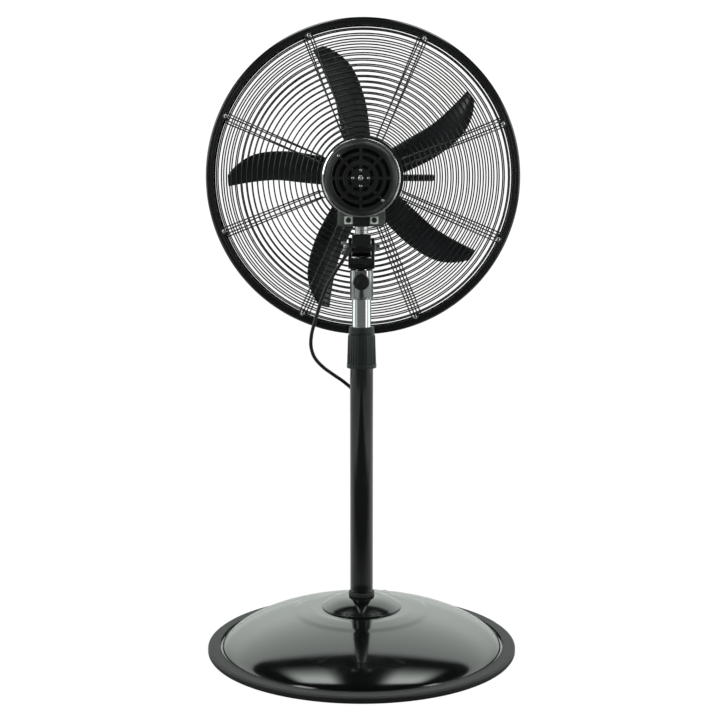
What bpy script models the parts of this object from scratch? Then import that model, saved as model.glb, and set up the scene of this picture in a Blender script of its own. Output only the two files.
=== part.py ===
"""Pedestal fan: a weighted round base, a telescopic pole and a tilting, swivelling head.

Metres, +Z up. The origin is the centre of the base's underside, on the floor. The air is
blown along +Y, so the motor's rear cap faces -Y. Each sub-part is one object with its own
material, and each moving piece hangs on an empty that stands on its joint's axis.
"""

import math

import bmesh
import bpy
from mathutils import Vector

GAP = 0.0003  # between pieces that touch
MERGE = 0.000002  # points nearer than this are one point
BASE_SIDES = 36  # the dome and its trim share their facets
HINGE_CLEARANCE = 0.0005  # between the tilt block and the cheeks beside it

# The base: a pressed steel dome in an edge trim, over a cast weight.
BASE_R = 0.285
TRIM_WIDTH = 0.014
TRIM_HEIGHT = 0.012
TRIM_WALL = 0.0035
FLANGE_Z = 0.0100
DOME_FOOT_R = 0.258
DOME_RISE = 0.0730
DOME_FULLNESS = 0.72
SHEET = 0.0015
WEIGHT_R = 0.150
WEIGHT_FLOOR_GAP = 0.0100
WEIGHT_EDGE_HEIGHT = 0.012
WEIGHT_BOSS_R = 0.028
BASE_BOLT_R = 0.0050

# The cover and the ring at the pole's foot.
COVER_R = 0.074
COVER_RISE = 0.0205
COVER_NECK = 0.0030  # the flat land round the pole
FOOT_RING_WALL = 0.0026
FOOT_RING_HEIGHT = 0.0080

# The pole.
OUTER_TUBE_R = 0.0211
OUTER_TUBE_WALL = 0.0015
OUTER_TUBE_LENGTH = 0.4722
INNER_TUBE_R = 0.01725
INNER_TUBE_WALL = 0.0012
CHROME_SHOWN = 0.050  # between the collar and the socket, with the mast at its lowest
HEIGHT_TRAVEL = 0.330
FOOT_BUSH_HEIGHT = 0.030
GUIDE_BUSH_HEIGHT = 0.055
POLE_PLUG_HEIGHT = 0.040

# The height collar.
COLLAR_HEIGHT = 0.075
COLLAR_DROP = 0.029  # how far it reaches down over the outer tube
COLLAR_TOP_WALL = 0.0135
COLLAR_TOP_R = 0.0231
COLLAR_RIB_TOP_R = 0.0247
COLLAR_RIB_FOOT_R = 0.0262
COLLAR_FOOT_R = 0.0270

# The neck.
SOCKET_R = 0.0210
SOCKET_HEIGHT = 0.055
SOCKET_DEPTH = 0.040
KNOB_DROP = 0.0220  # the knob's axis under the socket's top
KNOB_R = 0.0150
KNOB_STUD_R = 0.0030
YOKE_WIDTH = 0.0470
CHEEK = 0.0060
YOKE_DEPTH = 0.0350
YOKE_FLOOR = 0.0190
TILT_RISE = 0.0380  # the tilt axis over the socket's top
TILT_BOLT_R = 0.0040
BLOCK_RISE = 0.0240  # the block's top over the tilt axis
POST_R = 0.0120
POST_HEIGHT = 0.0067
SPIGOT_R = 0.0060
SPIGOT_SUNK = 0.0120
SPIGOT_STAND = 0.0120

# The motor.
SADDLE_WIDTH = 0.0840
SADDLE_SEAT = 0.0157  # the saddle's thickness under the motor
SADDLE_HORN = 0.0295  # the height of its two horns
SADDLE_REAR_Y = -0.0220
SADDLE_FRONT_Y = 0.0160
SADDLE_BOLT_X = 0.0230
SADDLE_BOLT_R = 0.0030
HOUSING_R = 0.0695
HOUSING_WALL = 0.0030
HOUSING_REAR_Y = -0.0340
HOUSING_FRONT_Y = 0.0240
END_BELL_THICK = 0.0037
CAP_R = 0.0640
CAP_DEPTH = 0.0380
CAP_WALL = 0.0020
CAP_SLOTS = 8
SHAFT_R = 0.0050
SHAFT_REAR_Y = -0.0450
BEARING_R = 0.0110
BEARING_BOSS_R = 0.0160
BEARING_LENGTH = 0.0104
ROTOR_R = 0.0262
STATOR_R = 0.0600
STACK_REAR_Y = -0.0160
STACK_FRONT_Y = 0.0060
WINDING_DEPTH = 0.0060

# The guard and the blades.
PLATE_R = 0.0755
PLATE_THICK = 0.0030
PLATE_HUB = 0.0074
WIRE = 0.0026
SPOKES = 8
REAR_RING_R = 0.0718
FRONT_RING_R = 0.0490
GUARD_R = 0.291
RIM_DEPTH = 0.030
RIM_REAR_Y = 0.085
RIM_LIP = 0.0150
RIM_WALL = 0.0025
RIM_SHEET = 0.0015
RIM_SEAT_PLAY = 0.0020  # between the guards' edges and the band's wall
RIM_SEAT_LEAD = 0.0050  # how far inside the band's lips the guards lie flat
FRONT_DOME = 0.0535
FRONT_FULLNESS = 2.6
REAR_FULLNESS = 3.2
CROSS_R = 0.137
CROSS_ROD_R = 0.0065
BLADES = 5
BLADE_TIP_R = 0.249
BLADE_Y = 0.085
BLADE_THICK = 0.0018
BLADE_FIRST = 37.0
HUB_R = 0.044
HUB_DEPTH = 0.036
ROOT_CLEARANCE = 0.0012  # between the hub and a blade root
HUB_NUT_R = 0.0120
# (share of the span, degrees from the tip's line), seen from behind the fan.
LEADING_EDGE = [(0.00, -37.0), (0.22, -27.5), (0.51, -20.1), (0.78, -13.1), (0.92, -7.0), (1.00, -2.2)]
TRAILING_EDGE = [(0.00, 15.0), (0.20, 6.6), (0.43, 1.7), (0.58, 0.4), (0.78, 1.1), (1.00, 2.5)]
ROOT_PITCH = 32.0
TIP_PITCH = 18.0

# The cord. Its route was chosen by hand: from the gland, down behind the pole and over the base.
CORD_R = 0.00325
CORD_STEP = 0.0155
CORD_SIDES = 2
CORD_ROUTE = [
    (-0.0288, -0.0414, 0.7298),
    (-0.0312, -0.0448, 0.7254),
    (-0.0350, -0.0464, 0.7195),
    (-0.0412, -0.0452, 0.7110),
    (-0.0500, -0.0410, 0.6965),
    (-0.0590, -0.0350, 0.6815),
    (-0.0655, -0.0325, 0.6670),
    (-0.0712, -0.0310, 0.6520),
    (-0.0775, -0.0300, 0.6320),
    (-0.0835, -0.0300, 0.6120),
    (-0.0890, -0.0290, 0.5910),
    (-0.0905, -0.0255, 0.5690),
    (-0.0850, -0.0180, 0.5480),
    (-0.0710, -0.0050, 0.5290),
    (-0.0520, 0.0110, 0.5120),
    (-0.0320, 0.0225, 0.4960),
    (-0.0140, 0.0268, 0.4780),
    (-0.0030, 0.0264, 0.4560),
    (0.0000, 0.0262, 0.4300),
    (0.0000, 0.0262, 0.3500),
    (0.0000, 0.0262, 0.2500),
    (0.0000, 0.0262, 0.1650),
    (0.0000, 0.0290, 0.1380),
    (0.0000, 0.0420, 0.1160),
    (0.0000, 0.0640, 0.1000),
    (0.0000, 0.0900, 0.0860),
    (0.0000, 0.1250, 0.0755),
    (0.0000, 0.1500, 0.0693),
    (0.0000, 0.1760, 0.0616),
    (0.0002, 0.1930, 0.0557),
    (0.0008, 0.2090, 0.0492),
    (0.0045, 0.2230, 0.0425),
    (0.0150, 0.2335, 0.0366),
    (0.0265, 0.2375, 0.0342),
    (0.0375, 0.2383, 0.0330),
    (0.0475, 0.2386, 0.0316),
    (0.0583, 0.2410, 0.0292),
    (0.0670, 0.2476, 0.0252),
    (0.0721, 0.2574, 0.0214),
    (0.0727, 0.2684, 0.0188),
    (0.0684, 0.2786, 0.0168),
    (0.0603, 0.2861, 0.0140),
    (0.0497, 0.2894, 0.0102),
    (0.0410, 0.2896, 0.0068),
]
ROUTE_TUBE_R = 0.0211  # the tube that the route was laid out round
CORD_TAIL = [
    (0.0430, 0.3040, 0.0118),
    (0.0405, 0.2980, 0.0122),
    (0.0360, 0.2932, 0.0128),
    (0.0305, 0.2908, 0.0133),
    (0.0245, 0.2905, 0.0138),
    (0.0185, 0.2918, 0.0141),
    (0.0130, 0.2936, 0.0142),
    (0.0090, 0.2945, 0.0142),
]
GLAND_ROUTE = [
    (-0.0222, -0.0178, 0.7430),
    (-0.0226, -0.0235, 0.7420),
    (-0.0238, -0.0295, 0.7395),
    (-0.0258, -0.0355, 0.7355),
    (-0.0284, -0.0406, 0.7306),
]
GLAND_RADII = (0.0045, 0.0045, 0.0043, 0.0041, 0.0039)
HANK_CENTRE = (-0.00625, 0.3090)
HANK_RUN = 0.0615
HANK_TURN = 0.02275
HANK_Z = 0.0014
TIE_X = 0.0135
TIE_WIDTH = 0.010
TIE_WALL = 0.0010
PLUG_X = 0.0074
PLUG_LENGTH = 0.0340
PLUG_WIDTH = 0.0180
PLUG_THICK = 0.0120
PIN_R = 0.0020
PIN_LENGTH = 0.0180
PIN_APART = 0.0096
CLIP_HEIGHTS = {"cord_clip_upper": 0.415, "cord_clip_lower": 0.180}
CLIP_HEIGHT = 0.0080
CLIP_FLOOR = 0.0012
CLIP_ARM = 0.0020

# Places that follow from the sizes.
DOME_TOP = FLANGE_Z + DOME_RISE
TUBE_FOOT = DOME_TOP + GAP
OUTER_TUBE_BORE = OUTER_TUBE_R - OUTER_TUBE_WALL
OUTER_TUBE_TOP = TUBE_FOOT + OUTER_TUBE_LENGTH
INNER_FIT_R = INNER_TUBE_R + GAP
PLUG_R = OUTER_TUBE_BORE - GAP
COLLAR_Z = OUTER_TUBE_TOP - COLLAR_DROP
COLLAR_TOP = COLLAR_Z + COLLAR_HEIGHT
SOCKET_Z = COLLAR_TOP + CHROME_SHOWN
SOCKET_TOP = SOCKET_Z + SOCKET_HEIGHT
GUIDE_FOOT = OUTER_TUBE_TOP - GUIDE_BUSH_HEIGHT
MAST_FOOT = GUIDE_FOOT - HEIGHT_TRAVEL - FOOT_BUSH_HEIGHT - 0.010
MAST_TOP = SOCKET_Z + SOCKET_DEPTH - GAP
KNOB_Z = SOCKET_TOP - KNOB_DROP
YOKE_Z = SOCKET_TOP + GAP
TILT_Z = SOCKET_TOP + TILT_RISE
BLOCK_HALF = YOKE_WIDTH / 2 - CHEEK - HINGE_CLEARANCE
POST_Z = TILT_Z + BLOCK_RISE + GAP
SWIVEL_Z = POST_Z + POST_HEIGHT + GAP
SADDLE_Z = SWIVEL_Z + POST_HEIGHT + GAP
HEAD_Z = SADDLE_Z + SADDLE_SEAT + GAP + HOUSING_R
BELL_FRONT_Y = HOUSING_REAR_Y - GAP
BELL_REAR_Y = BELL_FRONT_Y - END_BELL_THICK
CAP_FRONT_Y = BELL_REAR_Y - GAP
CAP_REAR_Y = CAP_FRONT_Y - CAP_DEPTH
PLATE_REAR_Y = HOUSING_FRONT_Y + GAP
PLATE_FRONT_Y = PLATE_REAR_Y + PLATE_HUB
RIM_FRONT_Y = RIM_REAR_Y + RIM_DEPTH
RIM_BORE = GUARD_R - RIM_LIP
SEAT_R = RIM_BORE - RIM_SEAT_LEAD
GUARD_SEAT = RIM_SHEET + GAP + WIRE / 2
REAR_SEAT_Y = RIM_REAR_Y + GUARD_SEAT
FRONT_SEAT_Y = RIM_FRONT_Y - GUARD_SEAT
REAR_RING_Y = PLATE_FRONT_Y + GAP + WIRE / 2
HUB_REAR_Y = BLADE_Y - HUB_DEPTH / 2
HUB_FRONT_Y = HUB_REAR_Y + HUB_DEPTH
SHAFT_FRONT_Y = HUB_FRONT_Y + 0.0100
BADGE_Y = FRONT_SEAT_Y + FRONT_DOME + WIRE / 2
CROSS_Y = BADGE_Y + 0.0022 + CROSS_ROD_R

ALONG_X = (math.radians(90), 0.0, math.radians(90))
ALONG_Y = (math.radians(-90), 0.0, 0.0)
AGAINST_Y = (math.radians(90), 0.0, 0.0)

FINISHES = {
    "black_enamel": ((0.006, 0.006, 0.007), 0.16, 0.0),
    "black_plastic": ((0.012, 0.012, 0.013), 0.42, 0.0),
    "rubber": ((0.010, 0.010, 0.010), 0.70, 0.0),
    "chrome": ((0.72, 0.73, 0.74), 0.07, 1.0),
    "gunmetal": ((0.09, 0.10, 0.10), 0.28, 1.0),
    "bright_steel": ((0.62, 0.63, 0.64), 0.25, 1.0),
    "cast_iron": ((0.06, 0.06, 0.06), 0.65, 0.8),
    "collar_plastic": ((0.030, 0.036, 0.036), 0.40, 0.0),
    "blade_enamel": ((0.010, 0.011, 0.013), 0.30, 0.0),
    "copper": ((0.60, 0.26, 0.12), 0.35, 1.0),
    "steel_stack": ((0.25, 0.25, 0.26), 0.45, 0.9),
    "nylon": ((0.70, 0.69, 0.65), 0.50, 0.0),
    "brass": ((0.55, 0.42, 0.18), 0.30, 1.0),
    "cord_pvc": ((0.010, 0.010, 0.011), 0.45, 0.0),
}


def clear_scene():
    """Remove whatever the file holds."""
    for obj in list(bpy.data.objects):
        bpy.data.objects.remove(obj)


def finish(name):
    """The Principled material of one finish."""
    material = bpy.data.materials.get(name)
    if material:
        return material
    color, roughness, metallic = FINISHES[name]
    material = bpy.data.materials.new(name)
    material.use_nodes = True
    shader = material.node_tree.nodes["Principled BSDF"]
    shader.inputs["Base Color"].default_value = (*color, 1.0)
    shader.inputs["Roughness"].default_value = roughness
    shader.inputs["Metallic"].default_value = metallic
    return material


def pivot(name, place, parent=None):
    """An empty on a joint's axis."""
    empty = bpy.data.objects.new(name, None)
    empty.location = Vector(place)
    if parent:
        empty.parent = parent
    bpy.context.collection.objects.link(empty)
    return empty


def add(name, bm, material, parent, place=(0, 0, 0), turn=(0, 0, 0)):
    """Make an object of a bmesh, with its faces pointing out."""
    bmesh.ops.remove_doubles(bm, verts=bm.verts, dist=MERGE)
    bmesh.ops.recalc_face_normals(bm, faces=bm.faces)
    mesh = bpy.data.meshes.new(name)
    bm.to_mesh(mesh)
    bm.free()
    mesh.shade_smooth()
    mesh.set_sharp_from_angle(angle=math.radians(35))
    mesh.materials.append(finish(material))
    obj = bpy.data.objects.new(name, mesh)
    obj.location = place
    obj.rotation_euler = turn
    obj.parent = parent
    bpy.context.collection.objects.link(obj)
    return obj


def turned(profile, sides):
    """A profile of (radius, height) spun round Z; one that leaves the axis at no point is a ring."""
    bm = bmesh.new()
    points = [bm.verts.new((r, 0, z)) for r, z in profile]
    edges = [bm.edges.new(pair) for pair in zip(points, points[1:])]
    if all(r > 0 for r, _ in profile):
        edges.append(bm.edges.new((points[-1], points[0])))
    bmesh.ops.spin(bm, geom=points + edges, axis=(0, 0, 1), cent=(0, 0, 0), angle=math.tau, steps=sides)
    return bm


def ring(inner, outer, low, high, sides):
    """A plain ring of rectangular section round Z."""
    return turned([(inner, low), (outer, low), (outer, high), (inner, high)], sides)


def disc(radius, low, high, sides):
    """A plain cylinder round Z."""
    return turned([(0, low), (radius, low), (radius, high), (0, high)], sides)


def prism(outline, low, high):
    """An outline in XY, extruded along Z."""
    bm = bmesh.new()
    face = bm.faces.new([bm.verts.new((x, y, low)) for x, y in outline])
    grown = bmesh.ops.extrude_face_region(bm, geom=[face])["geom"]
    moved = [v for v in grown if isinstance(v, bmesh.types.BMVert)]
    bmesh.ops.translate(bm, verts=moved, vec=(0, 0, high - low))
    return bm


def block(low, high):
    """A box between two corners."""
    bm = bmesh.new()
    bmesh.ops.create_cube(bm, size=1.0)
    middle = [(a + b) / 2 for a, b in zip(low, high)]
    spans = [b - a for a, b in zip(low, high)]
    bmesh.ops.scale(bm, verts=bm.verts, vec=spans)
    bmesh.ops.translate(bm, verts=bm.verts, vec=middle)
    return bm


def arc(radius, start, end, steps, centre=(0.0, 0.0)):
    """Points on an arc, from one angle to another in degrees."""
    angles = [math.radians(start + (end - start) * i / steps) for i in range(steps + 1)]
    return [(centre[0] + radius * math.cos(a), centre[1] + radius * math.sin(a)) for a in angles]


def merged(*shapes):
    """Several bmeshes in one, for a cutter of several pieces."""
    bm = bmesh.new()
    for shape in shapes:
        part = bpy.data.meshes.new("part")
        shape.to_mesh(part)
        shape.free()
        bm.from_mesh(part)
        bpy.data.meshes.remove(part)
    return bm


def cutter(name, bm, parent, place=(0, 0, 0), turn=(0, 0, 0)):
    """A guide for a Boolean, which isn't a part."""
    tool = add(name, bm, "black_plastic", parent, place, turn)
    tool.hide_render = True
    tool.display_type = "WIRE"
    return tool


def boolean(obj, tool, operation="DIFFERENCE"):
    """Cut obj with a tool, or join the tool to it."""
    modifier = obj.modifiers.new(tool.name, "BOOLEAN")
    modifier.operation = operation
    modifier.solver = "EXACT"
    modifier.object = tool


def smooth(points, position, count):
    """The value at a position along (position, value) points, on a curve through them."""
    index = 0
    while index < count - 2 and points[index + 1][0] < position:
        index += 1
    (x0, y0), (x1, y1) = points[index], points[index + 1]
    before = points[max(index - 1, 0)]
    after = points[min(index + 2, count - 1)]
    slope0 = (y1 - before[1]) / (x1 - before[0])
    slope1 = (after[1] - y0) / (after[0] - x0)
    width = x1 - x0
    t = (position - x0) / width
    return (
        y0 * (1 + 2 * t) * (1 - t) ** 2
        + slope0 * width * t * (1 - t) ** 2
        + y1 * t * t * (3 - 2 * t)
        - slope1 * width * t * t * (1 - t)
    )


def curve_through(points, step):
    """Points a step apart on one smooth curve through a route's own points."""
    route = [Vector(p) for p in points]
    ends = [2 * route[0] - route[1], *route, 2 * route[-1] - route[-2]]
    fine = []
    for a, b, c, d in zip(ends, ends[1:], ends[2:], ends[3:]):
        for k in range(16):
            t = k / 16
            fine.append(
                0.5 * (2 * b + (c - a) * t + (2 * a - 5 * b + 4 * c - d) * t**2 + (3 * b - a - 3 * c + d) * t**3)
            )
    fine.append(route[-1])
    lengths = [0.0]
    for a, b in zip(fine, fine[1:]):
        lengths.append(lengths[-1] + (b - a).length)
    count = max(2, round(lengths[-1] / step))
    result = []
    index = 0
    for k in range(count + 1):
        target = lengths[-1] * k / count
        while index < len(lengths) - 2 and lengths[index + 1] < target:
            index += 1
        share = (target - lengths[index]) / (lengths[index + 1] - lengths[index])
        result.append(fine[index].lerp(fine[index + 1], share))
    return result


def cord_tube(name, route, parent):
    """A round tube along a route, closed at both ends."""
    data = bpy.data.curves.new(name, "CURVE")
    data.dimensions = "3D"
    data.bevel_depth = CORD_R
    data.bevel_resolution = CORD_SIDES
    data.use_fill_caps = True
    points = curve_through(route, CORD_STEP)
    spline = data.splines.new("POLY")
    spline.points.add(len(points) - 1)
    for target, point in zip(spline.points, points):
        target.co = (*point, 1.0)
    data.materials.append(finish("cord_pvc"))
    obj = bpy.data.objects.new(name, data)
    obj.parent = parent
    bpy.context.collection.objects.link(obj)
    return obj


def hex_bolt(name, head_r, head_h, shank_r, shank_length, material, parent, place, turn):
    """A bolt whose head stands below its local XY plane and whose shank runs up +Z."""
    bolt = add(name, disc(shank_r, -head_h / 2, shank_length, 12), material, parent, place, turn)
    head = cutter(name + "_head", disc(head_r, -head_h, 0.0, 6), parent, place, turn)
    boolean(bolt, head, "UNION")
    return bolt


def dome_z(radius):
    """The height of the dome's outside at a radius."""
    share = min(1.0, radius / DOME_FOOT_R)
    return FLANGE_Z + DOME_RISE * (1 - share**2) ** DOME_FULLNESS


def make_base(stand):
    """The dome, its edge trim, the weight under it and the bolt that holds the pole."""
    flange_r = BASE_R - TRIM_WALL - GAP
    bolt_hole = BASE_BOLT_R + GAP
    seat_r = WEIGHT_BOSS_R
    radii = [DOME_FOOT_R * math.sin(math.radians(a)) for a in (16, 32, 46, 58, 70, 80, 90)]
    radii = [r for r in radii if r > seat_r]
    top = [(bolt_hole, DOME_TOP), (seat_r, DOME_TOP)]
    top += [(r, dome_z(r)) for r in radii]
    top.append((flange_r, FLANGE_Z))
    under = [(r, z - SHEET) for r, z in reversed(top)]
    add("base_shell", turned(top + under, BASE_SIDES), "black_enamel", stand)

    inner = BASE_R - TRIM_WIDTH
    slot_low = FLANGE_Z - SHEET - GAP
    slot_high = FLANGE_Z + GAP
    slot_r = flange_r + GAP
    trim = [
        (inner, 0.0),
        (BASE_R, 0.0),
        (BASE_R, TRIM_HEIGHT),
        (inner, TRIM_HEIGHT),
        (inner, slot_high),
        (slot_r, slot_high),
        (slot_r, slot_low),
        (inner, slot_low),
    ]
    add("base_rim_trim", turned(trim, BASE_SIDES), "rubber", stand)

    floor = WEIGHT_FLOOR_GAP
    weight = [
        (bolt_hole, floor),
        (WEIGHT_R, floor),
        (WEIGHT_R, floor + WEIGHT_EDGE_HEIGHT),
        (WEIGHT_BOSS_R * 1.3, floor + WEIGHT_EDGE_HEIGHT * 1.6),
        (WEIGHT_BOSS_R - GAP, DOME_TOP - SHEET - GAP),
        (bolt_hole, DOME_TOP - SHEET - GAP),
    ]
    add("base_weight", turned(weight, 24), "cast_iron", stand)
    head_h = 0.0060
    length = TUBE_FOOT + POLE_PLUG_HEIGHT * 0.6 - floor
    hex_bolt(
        "base_bolt", 0.0085, head_h, BASE_BOLT_R, length, "bright_steel", stand, (0, 0, floor - GAP), (0, 0, 0)
    )


def make_pole(stand):
    """The outer tube, what is inside it, and the cover and ring at its foot."""
    foot = [
        (BASE_BOLT_R + GAP, TUBE_FOOT),
        (PLUG_R, TUBE_FOOT),
        (PLUG_R, TUBE_FOOT + POLE_PLUG_HEIGHT),
        (BASE_BOLT_R + GAP, TUBE_FOOT + POLE_PLUG_HEIGHT),
    ]
    add("pole_plug", turned(foot, 20), "cast_iron", stand)
    add(
        "outer_tube",
        ring(OUTER_TUBE_BORE, OUTER_TUBE_R, TUBE_FOOT, OUTER_TUBE_TOP, 28),
        "black_enamel",
        stand,
    )
    add(
        "guide_bush",
        ring(INNER_FIT_R, PLUG_R, GUIDE_FOOT, OUTER_TUBE_TOP, 20),
        "nylon",
        stand,
    )
    collet_top = COLLAR_TOP - COLLAR_TOP_WALL - GAP
    collet = [
        (INNER_FIT_R, OUTER_TUBE_TOP + GAP),
        (OUTER_TUBE_R, OUTER_TUBE_TOP + GAP),
        (INNER_FIT_R + 0.0014, collet_top),
        (INNER_FIT_R, collet_top),
    ]
    add("grip_collet", turned(collet, 20), "nylon", stand)

    cover_z = dome_z(COVER_R - 3 * SHEET) + GAP
    land_r = OUTER_TUBE_R + GAP + COVER_NECK
    land_z = cover_z + COVER_RISE
    rows = 4
    outside = [(OUTER_TUBE_R + GAP, land_z), (land_r, land_z)]
    for i in range(1, rows + 1):
        t = i / rows
        outside.append((land_r + (COVER_R - land_r) * t, cover_z + COVER_RISE * (1 - t**1.8)))
    inside = [(r, z - SHEET) for r, z in reversed(outside[:-1])]
    inside.insert(0, (COVER_R - SHEET * 1.6, cover_z))
    add("base_cover", turned(outside + inside, 28), "black_enamel", stand)
    ring_z = land_z + GAP
    add(
        "pole_foot_ring",
        ring(OUTER_TUBE_R + GAP, OUTER_TUBE_R + FOOT_RING_WALL, ring_z, ring_z + FOOT_RING_HEIGHT, 28),
        "rubber",
        stand,
    )


def make_collar(turning):
    """The ribbed collar that is twisted to clamp the mast."""
    bore = OUTER_TUBE_R + 2 * GAP
    top_bore = INNER_FIT_R + GAP
    shoulder = COLLAR_HEIGHT - COLLAR_TOP_WALL
    profile = [
        (bore, 0.0),
        (COLLAR_FOOT_R, 0.0),
        (COLLAR_FOOT_R, 0.0080),
        (COLLAR_RIB_FOOT_R, 0.0085),
        (COLLAR_RIB_TOP_R, shoulder),
        (COLLAR_TOP_R, shoulder + 0.0005),
        (COLLAR_TOP_R, COLLAR_HEIGHT),
        (top_bore, COLLAR_HEIGHT),
        (top_bore, shoulder),
        (bore, shoulder),
    ]
    add("height_collar", turned(profile, 24), "collar_plastic", turning)


def make_mast(mast):
    """The chrome tube and the socket and yoke on top of it. The mast's empty is on the floor."""
    add(
        "inner_tube",
        ring(INNER_TUBE_R - INNER_TUBE_WALL, INNER_TUBE_R, MAST_FOOT, MAST_TOP, 28),
        "chrome",
        mast,
    )
    add(
        "mast_foot_bush",
        turned(
            [
                (0, MAST_FOOT - GAP),
                (INNER_TUBE_R - INNER_TUBE_WALL - GAP, MAST_FOOT - GAP),
                (INNER_TUBE_R - INNER_TUBE_WALL - GAP, MAST_FOOT + FOOT_BUSH_HEIGHT),
                (0, MAST_FOOT + FOOT_BUSH_HEIGHT),
            ],
            20,
        ),
        "nylon",
        mast,
    )
    bore = INNER_FIT_R
    roof = SOCKET_Z + SOCKET_DEPTH
    socket = [
        (0, roof),
        (bore, roof),
        (bore, SOCKET_Z),
        (SOCKET_R - 0.0010, SOCKET_Z),
        (SOCKET_R, SOCKET_Z + 0.0010),
        (SOCKET_R, SOCKET_TOP - 0.0020),
        (SOCKET_R - 0.0020, SOCKET_TOP),
        (0, SOCKET_TOP),
    ]
    body = add("neck_socket", turned(socket, 28), "gunmetal", mast)
    hole = cutter(
        "knob_hole", disc(KNOB_STUD_R + GAP, INNER_TUBE_R - 0.004, SOCKET_R + 0.004, 12), mast, (0, 0, KNOB_Z), AGAINST_Y
    )
    boolean(body, hole)

    half = YOKE_DEPTH / 2
    outline = [(-half, YOKE_Z), (half, YOKE_Z)]
    outline += arc(half, 0, 180, 12, (0.0, TILT_Z))
    yoke = add("tilt_yoke", prism(outline, -YOKE_WIDTH / 2, YOKE_WIDTH / 2), "black_enamel", mast, turn=ALONG_X)
    reach = YOKE_WIDTH / 2 - CHEEK
    slot = cutter(
        "yoke_slot",
        block((-reach, -YOKE_DEPTH, YOKE_Z + YOKE_FLOOR), (reach, YOKE_DEPTH, TILT_Z + YOKE_DEPTH)),
        mast,
    )
    boolean(yoke, slot)
    bolt_hole = cutter(
        "yoke_bolt_hole", disc(TILT_BOLT_R + GAP, -YOKE_WIDTH, YOKE_WIDTH, 16), mast, (0, 0, TILT_Z), ALONG_X
    )
    boolean(yoke, bolt_hole)
    bolt_length = YOKE_WIDTH + 0.0085
    turn = (math.radians(90), 0.0, math.radians(-90))
    hex_bolt(
        "tilt_bolt",
        0.0075,
        0.0090,
        TILT_BOLT_R,
        bolt_length,
        "bright_steel",
        mast,
        (YOKE_WIDTH / 2 + GAP, 0, TILT_Z),
        turn,
    )


def make_gland(mast):
    """The tapered sleeve round the cord, from the yoke's rear face."""
    sides = 12
    route = [Vector(p) for p in GLAND_ROUTE]
    bm = bmesh.new()
    loops = []
    for i, centre in enumerate(route):
        if i == 0:
            along = Vector((0, -1, 0))
        else:
            along = (route[min(i + 1, len(route) - 1)] - route[i - 1]).normalized()
        side = along.cross(Vector((0, 0, 1))).normalized()
        up = side.cross(along)
        loop = []
        for k in range(sides):
            a = math.tau * k / sides
            loop.append(bm.verts.new(centre + GLAND_RADII[i] * (math.cos(a) * side + math.sin(a) * up)))
        loops.append(loop)
    for low, high in zip(loops, loops[1:]):
        for k in range(sides):
            j = (k + 1) % sides
            bm.faces.new((low[k], low[j], high[j], high[k]))
    bm.faces.new(loops[0][::-1])
    bm.faces.new(loops[-1])
    add("cord_gland", bm, "rubber", mast)


def make_knob(axis):
    """The round clamp knob behind the socket, with its stud."""
    face = SOCKET_R + 0.0015
    profile = [
        (0, INNER_TUBE_R + GAP),
        (KNOB_STUD_R, INNER_TUBE_R + GAP),
        (KNOB_STUD_R, face),
        (KNOB_R * 0.5, face),
        (KNOB_R * 0.5, face + 0.0035),
        (KNOB_R * 0.9, face + 0.0045),
        (KNOB_R, face + 0.0065),
        (KNOB_R, face + 0.0135),
        (KNOB_R * 0.9, face + 0.0160),
        (KNOB_R * 0.5, face + 0.0175),
        (0, face + 0.0180),
    ]
    add("neck_knob", turned(profile, 20), "black_plastic", axis, turn=AGAINST_Y)


def make_wing_nut(axis):
    """The nut with two wings on the tilt bolt's left end; its axis is the tilt axis."""
    start = YOKE_WIDTH / 2 + GAP
    hub = 0.0085
    right = [(0.0010, 0.0050), (0.0050, 0.0110), (0.0135, 0.0108), (0.0125, 0.0060), (0.0060, 0.0030)]
    outline = [(-start - u, v) for u, v in right]
    outline += [(-start - u, -v) for u, v in reversed(right)]
    nut = add("tilt_wing_nut", prism(outline, -0.0018, 0.0018), "bright_steel", axis, turn=AGAINST_Y)
    boss = cutter("wing_nut_boss", disc(0.0062, -start - hub, -start, 16), axis, turn=ALONG_X)
    boolean(nut, boss, "UNION")
    bore = cutter(
        "wing_nut_bore", disc(TILT_BOLT_R + GAP, -start - hub - 0.01, -start + 0.01, 16), axis, turn=ALONG_X
    )
    boolean(nut, bore)


def make_tilt_block(tilt):
    """The block between the cheeks, the swivel post on it and the bush. Local heights are from the tilt axis."""
    half = YOKE_DEPTH / 2 - 0.0010
    outline = [(half, BLOCK_RISE), (-half, BLOCK_RISE)]
    outline += arc(half, 180, 360, 12)
    body = add("tilt_block", prism(outline, -BLOCK_HALF, BLOCK_HALF), "black_enamel", tilt, turn=ALONG_X)
    boolean(
        body,
        cutter("block_bolt_hole", disc(TILT_BOLT_R + GAP, -YOKE_WIDTH, YOKE_WIDTH, 16), tilt, turn=ALONG_X),
    )
    boolean(
        body,
        cutter(
            "block_post_hole",
            disc(SPIGOT_R + GAP, BLOCK_RISE - SPIGOT_SUNK - GAP, BLOCK_RISE + 0.01, 16),
            tilt,
        ),
    )
    post_z = POST_Z - TILT_Z
    spigot_top = SADDLE_Z + SPIGOT_STAND - TILT_Z
    post = [
        (0, BLOCK_RISE - SPIGOT_SUNK),
        (SPIGOT_R, BLOCK_RISE - SPIGOT_SUNK),
        (SPIGOT_R, post_z),
        (POST_R, post_z),
        (POST_R, post_z + POST_HEIGHT),
        (SPIGOT_R, post_z + POST_HEIGHT),
        (SPIGOT_R, spigot_top),
        (0, spigot_top),
    ]
    add("pivot_post", turned(post, 20), "bright_steel", tilt)
    bush_z = SWIVEL_Z - TILT_Z
    add(
        "swivel_bush",
        ring(SPIGOT_R + GAP, POST_R + 0.0004, bush_z, bush_z + POST_HEIGHT, 20),
        "bright_steel",
        tilt,
    )


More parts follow.
